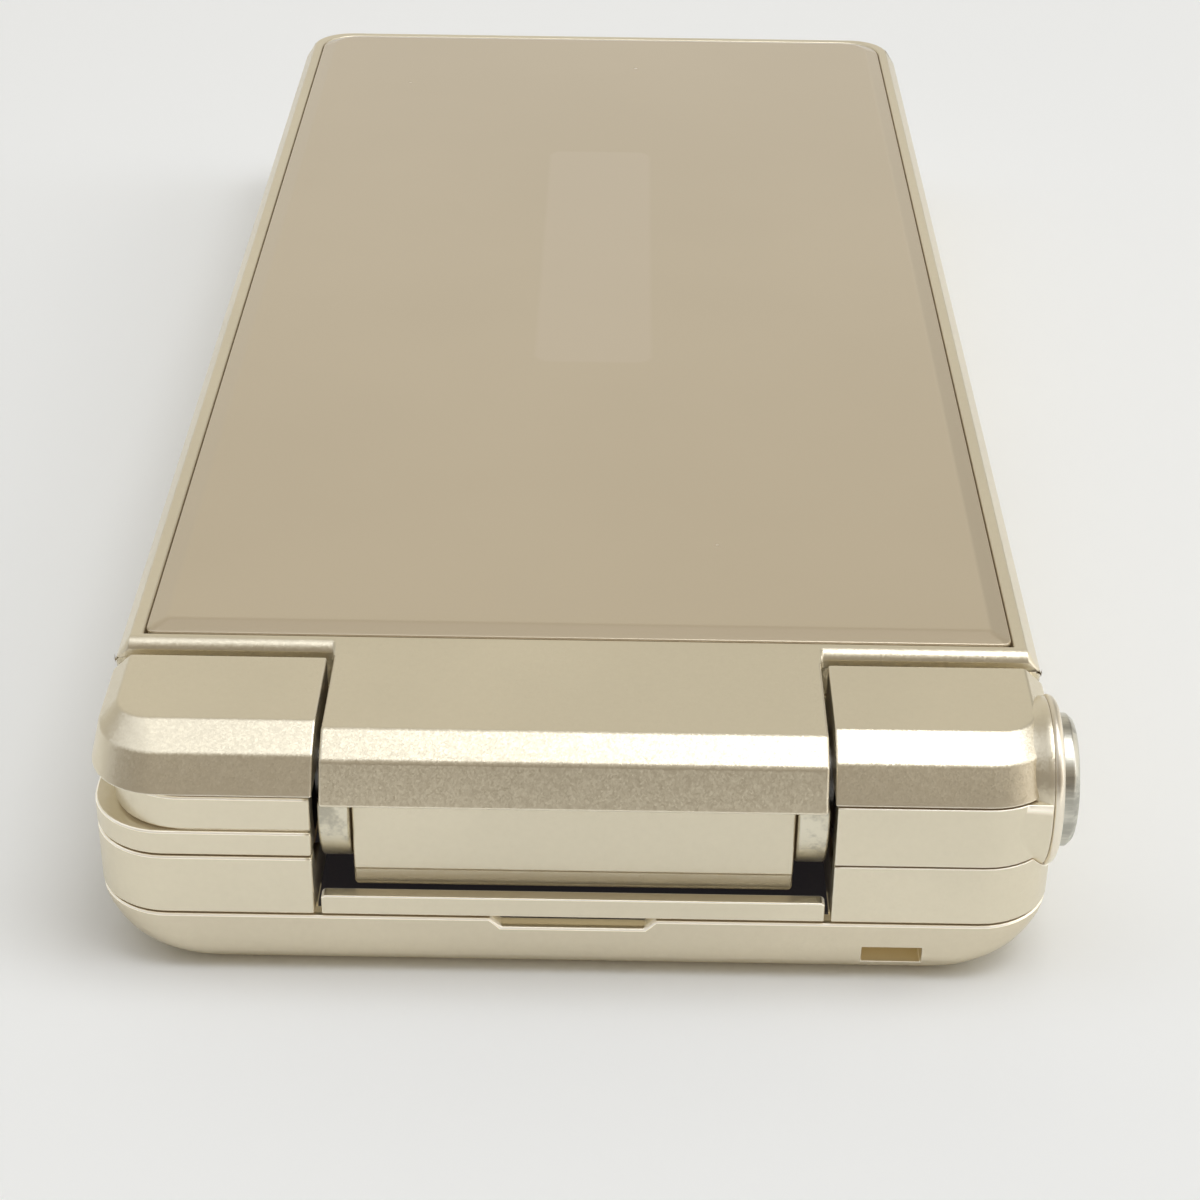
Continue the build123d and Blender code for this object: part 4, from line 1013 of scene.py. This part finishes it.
def build_select():
    """A round key with a domed top: z = top - 0.16 (r / R)^2."""
    low, high = node_box("key_select")
    middle, radius = (low[1] + high[1]) / 2, (high[0] - low[0]) / 2
    shares = np.array([1, 1, 0.94, 0.75, 0.5, 0.25, 0.02])
    heights = high[2] - np.where(shares < 1, 0.16 * shares**2, 0.26)
    heights[0] = low[2]
    levels = lathe(radius * shares, heights) + np.array([0, middle, 0])
    piece = loft("key_select_cap", soften(levels, [0.1, 0.1, 0.2, 0.2, 0.2]), "key_select", key_cap)
    return stand_in(piece, "key_select", key_cap)


round_keys = ("key_navigation_ring", "key_select", "key_dome_sheet")
plain_keys = sorted(name for name in nodes if name.startswith("key_") and name not in round_keys)
for name in plain_keys:
    build_key(name)
build_navigation_ring()
build_select()
print("plain keys:", len(plain_keys))

# %% [markdown]
# ## Legends
#
# Digits, star and hash are text turned into a thin mesh. The call and end marks are handsets: an
# arc whose two ends are thicker. The four-way ring has a triangle on each side. Printed marks could
# be a picture on the key, but a thin mesh stays crisp from near by.

# %% Legends
LEGEND_RISE = 0.015


def key_middle(key):
    """The middle of a key's top."""
    low, high = node_box(key)
    return np.array([(low[0] + high[0]) / 2, (low[1] + high[1]) / 2, high[2]])


def flat_piece(name, outline, height, body, material):
    """A thin plate let into a key: one outline at two heights."""
    levels = at_heights([outline, outline], [height - 0.05, height + LEGEND_RISE])
    return loft(name, levels, body, material)


def build_digit(key, text, size=4.0):
    """A character as a mesh, centred on its key."""
    curve = bpy.data.curves.new(f"legend_{key}", "FONT")
    curve.body, curve.size, curve.extrude = text, size * MM, LEGEND_RISE * MM
    curve.resolution_u = 6
    holder = add_object("text_holder", curve)
    mesh = applied_mesh(holder)
    bpy.data.objects.remove(holder)
    points = np.zeros(3 * len(mesh.vertices))
    mesh.vertices.foreach_get("co", points)
    points = points.reshape(-1, 3) / MM
    centre = (points.min(0) + points.max(0)) / 2
    mesh.vertices.foreach_set("co", ((points - centre + key_middle(key)) * MM).ravel())
    mesh.name = f"legend_{key}"
    piece = link_piece(f"legend_{key}", mesh, key, ink)
    mesh.polygons.foreach_set("use_smooth", np.zeros(len(mesh.polygons), bool))
    return piece


def build_handset(key, material, turn):
    """A handset: an arc from -65 to 65 degrees, 0.45 wide in the middle and 1.1 at its ends."""
    a = np.radians(np.linspace(-65, 65, 41))
    outer = 2.1
    inner = outer - 0.45 - 0.65 * (np.abs(np.degrees(a)) > 42)
    ring = np.concatenate([
        np.stack([outer * np.sin(a), outer * np.cos(a)], 1)[::-1],
        np.stack([inner * np.sin(a), inner * np.cos(a)], 1),
    ]) - np.array([0, outer - 0.8])
    c, s = math.cos(math.radians(turn)), math.sin(math.radians(turn))
    middle = key_middle(key)
    outline = ring @ np.array([[c, s], [-s, c]]) + middle[:2]
    return flat_piece(f"legend_{key}", outline, middle[2], key, material)


def build_bars(key, count):
    """Short bars across a soft key."""
    x, y, z = key_middle(key)
    for row in range(count):
        middle = y + (row - (count - 1) / 2) * 1.1
        outline = rounded_polygon(rectangle(x - 1.3, x + 1.3, middle - 0.2, middle + 0.2), 0.19, 5)
        flat_piece(f"legend_{key}_{row}", outline, z, key, ink)


def build_arrows():
    """A triangle on each side of the four-way ring, pointing outwards."""
    middle = key_middle("key_navigation_ring")
    tip = np.array([(0.0, 0.6), (-0.7, -0.35), (0.7, -0.35)]) + np.array([0, 9.3])
    for index, side in enumerate(("far", "left", "near", "right")):
        c, s = math.cos(math.pi / 2 * index), math.sin(math.pi / 2 * index)
        outline = rounded_polygon(tip @ np.array([[c, s], [-s, c]]), 0.08, 4) + middle[:2]
        flat_piece(f"legend_arrow_{side}", outline, middle[2], "key_navigation_ring", ink)


digits = {f"key_{digit}": digit for digit in "0123456789"} | {"key_star": "*", "key_hash": "#"}
for key, text in digits.items():
    build_digit(key, text)
build_handset("key_call", call_ink, 135)
build_handset("key_end", end_ink, 0)
build_bars("key_clear", 1)
for side in ("left", "right"):
    build_bars(f"key_soft_{side}_upper", 1)
    build_bars(f"key_soft_{side}_lower", 2)
build_arrows()

# %% [markdown]
# ## Camera lens and display glass
#
# On the underside a small round window covers the camera: a black ring with a clear dome in it.
# It is turned on a lathe as the button is, because a flat disc would show no bent reflection.
# Inside the lid a pane of glass with a black border covers the display.


# %% Lens and glass
def build_lens():
    """The camera window, turned about its own axis: rim, groove, and a dome towards the table."""
    low, high = node_box("camera_window")
    middle, radius, face = (low + high) / 2, (high[0] - low[0]) / 2, low[2]
    radii = [radius, radius, radius - 0.12, 2.5, 2.4, 2.3, 2.2, 1.6, 0.9, 0.02]
    depths = np.array([0, 0.1, 0, 0, 0.14, 0.14, 0.12, 0.05, 0.02, 0.01]) + face
    depths[0] = high[2]
    levels = lathe(radii, depths)[:, ::-1] + np.array([middle[0], middle[1], 0])
    piece = loft("camera_window_lens", levels, "battery_cover", lens_black)
    return stand_in(piece, "camera_window", lens_black)


build_lens()
soft_shell("main_display_window", screen, 0.15)
print("lens and glass done")

# %% [markdown]
# ## Pieces inside
#
# With the battery cover off or the lid open, the parts inside come into view. They keep their own
# shapes, with softened edges and a material each. The hinge's spring is left as it came, because
# it lies in a housing and has no edge that shows.

# %% Inner pieces
inner_finishes = {
    steel: [
        "hinge_housing", "hinge_cam", "hinge_shaft", "hinge_pin_left", "base_screws",
        "lid_screws", "vibration_motor", "charging_connector", "sim_card_socket",
    ],
    black: [
        "hinge_bush_left", "battery_connector", "antenna", "camera_module", "loudspeaker",
        "earpiece_speaker",
    ],
    display_dark: ["main_display", "sub_display"],
    rubber: ["lid_bumpers"],
    film: ["key_dome_sheet"],
    wrap: ["battery"],
    board: ["main_circuit_board", "lid_circuit_board"],
}
for material, names in inner_finishes.items():
    for name in names:
        soft_shell(name, material, 0.08, segments=2)
finish_node("hinge_spring", steel)
print("inner pieces:", sum(len(names) for names in inner_finishes.values()))

# %% [markdown]
# ## Camera
#
# It stands at the hinge end, a hand's breadth above the table, and looks down at 31 degrees.
# It could be aimed by hand in the viewport. Three angles and a place give the same view every time.

# %% Camera
YAW, PITCH, ROLL = -0.373, 30.90, 0.711
CAMERA_PLACE = (0.001966, -0.16776, 0.090383)
SENSOR_WIDTH, FOCAL_LENGTH, CLIP_START = 36.0, 79.56, 0.01


def add_camera():
    """Aim by yaw, pitch and roll: ahead, right and up are three unit vectors at right angles."""
    yaw, pitch, roll = (math.radians(a) for a in (YAW, PITCH, ROLL))
    flat = math.cos(pitch)
    ahead = np.array([math.sin(yaw) * flat, math.cos(yaw) * flat, -math.sin(pitch)])
    level = np.array([math.cos(yaw), -math.sin(yaw), 0.0])
    above = np.cross(level, ahead)
    right = math.cos(roll) * level + math.sin(roll) * above
    up = -math.sin(roll) * level + math.cos(roll) * above
    data = bpy.data.cameras.new("camera")
    data.sensor_width, data.lens, data.clip_start = SENSOR_WIDTH, FOCAL_LENGTH, CLIP_START
    camera = add_object("camera", data)
    place = Matrix(np.column_stack([right, up, -ahead]).tolist()).to_4x4()
    place.translation = CAMERA_PLACE
    camera.matrix_world = place
    bpy.context.scene.camera = camera


add_camera()
print("camera's height in mm:", round(CAMERA_PLACE[2] / MM, 1))

# %% [markdown]
# ## Table, room and lamp
#
# Metallic paint is mostly what it reflects. The top faces mirror the far wall, the upper facets
# the lamp overhead, the lower facets the dim side of the room behind the camera, and the upright
# faces the pale table. So the room is a colour that changes with the angle above the far horizon,
# and one soft lamp hangs over the phone, a little to the right. Walls and more lamps could be
# built round the phone, but a coloured sky gives the same reflections with nothing in the way.

# %% Table
TABLE_REACH = 4.0  # metres


def add_table():
    """A wide pale sheet with a faint mottle."""
    s = Shader("table_top")
    where = s.node("TexCoord", output="Object")
    tone = s.blend(s.noise(where, 6.0, 3.0) * 0.5, linear(248, 250, 250), linear(243, 246, 246))
    top = s.finish(s.node("BsdfPrincipled", Base_Color=tone, Roughness=0.65))
    mesh = bpy.data.meshes.new("table_top")
    corners = [(x * TABLE_REACH, y * TABLE_REACH, 0) for x, y in rectangle(-1, 1, -1, 1).tolist()]
    mesh.from_pydata(corners, [], [[0, 1, 2, 3]])
    mesh.materials.append(top)
    table = add_object("table_top", mesh)


# %% Room
def add_room():
    """The room's colour by the angle from the far horizon (0) over the top (0.5) to behind (1)."""
    s = Shader("room", world=True)
    x, y, z = s.parts(s.node("TexCoord", output="Generated"))
    angle = x.math("ARCTAN2", z.most(0.0), y) * (1 / math.pi)
    ramp = s.tree.nodes.new("ShaderNodeValToRGB")
    s.put(ramp.inputs[0], angle)
    stops = [(0.0, (0.74, 0.71, 0.65)), (0.2, (0.66, 0.62, 0.53)), (0.33, (0.37, 0.33, 0.265)),
             (0.44, (1.05, 1.07, 1.13)), (0.57, (1.05, 1.07, 1.13)), (0.67, (0.40, 0.35, 0.28)),
             (0.87, (0.15, 0.115, 0.08)), (0.93, (0.42, 0.39, 0.34)), (1.0, (1.5, 1.48, 1.45))]
    elements = ramp.color_ramp.elements
    elements[0].position, elements[0].color = stops[0][0], (*stops[0][1], 1)
    elements[1].position, elements[1].color = stops[-1][0], (*stops[-1][1], 1)
    for position, colour in stops[1:-1]:
        elements.new(position).color = (*colour, 1)
    dim = 1.0 - x.rise(0.2, 0.4) * y.rise(0, 0.2) * 0.45
    sides = x.rise(0.5, 0.9) * 1.2 - (x * -1.0).rise(0.25, 0.8) * 0.2
    light = s.node("Background", Socket(s, ramp.outputs[0]), dim + sides)
    bpy.context.scene.world = s.finish(light)


# %% Lamp
def add_lamp(name, place, target, size, power):
    """A square soft lamp that faces a point."""
    data = bpy.data.lights.new(name, "AREA")
    data.size, data.energy = size, power
    lamp = add_object(name, data)
    lamp.location = place
    lamp.rotation_mode = "QUATERNION"
    lamp.rotation_quaternion = (Vector(target) - Vector(place)).to_track_quat("-Z", "Y")


add_table()
add_room()
add_lamp("ceiling_lamp", (0.27, -0.06, 0.88), (0, 0, 0), 0.5, 2.3)
bpy.context.scene.view_settings.view_transform = "Standard"
print("lamps:", len(bpy.data.lights))
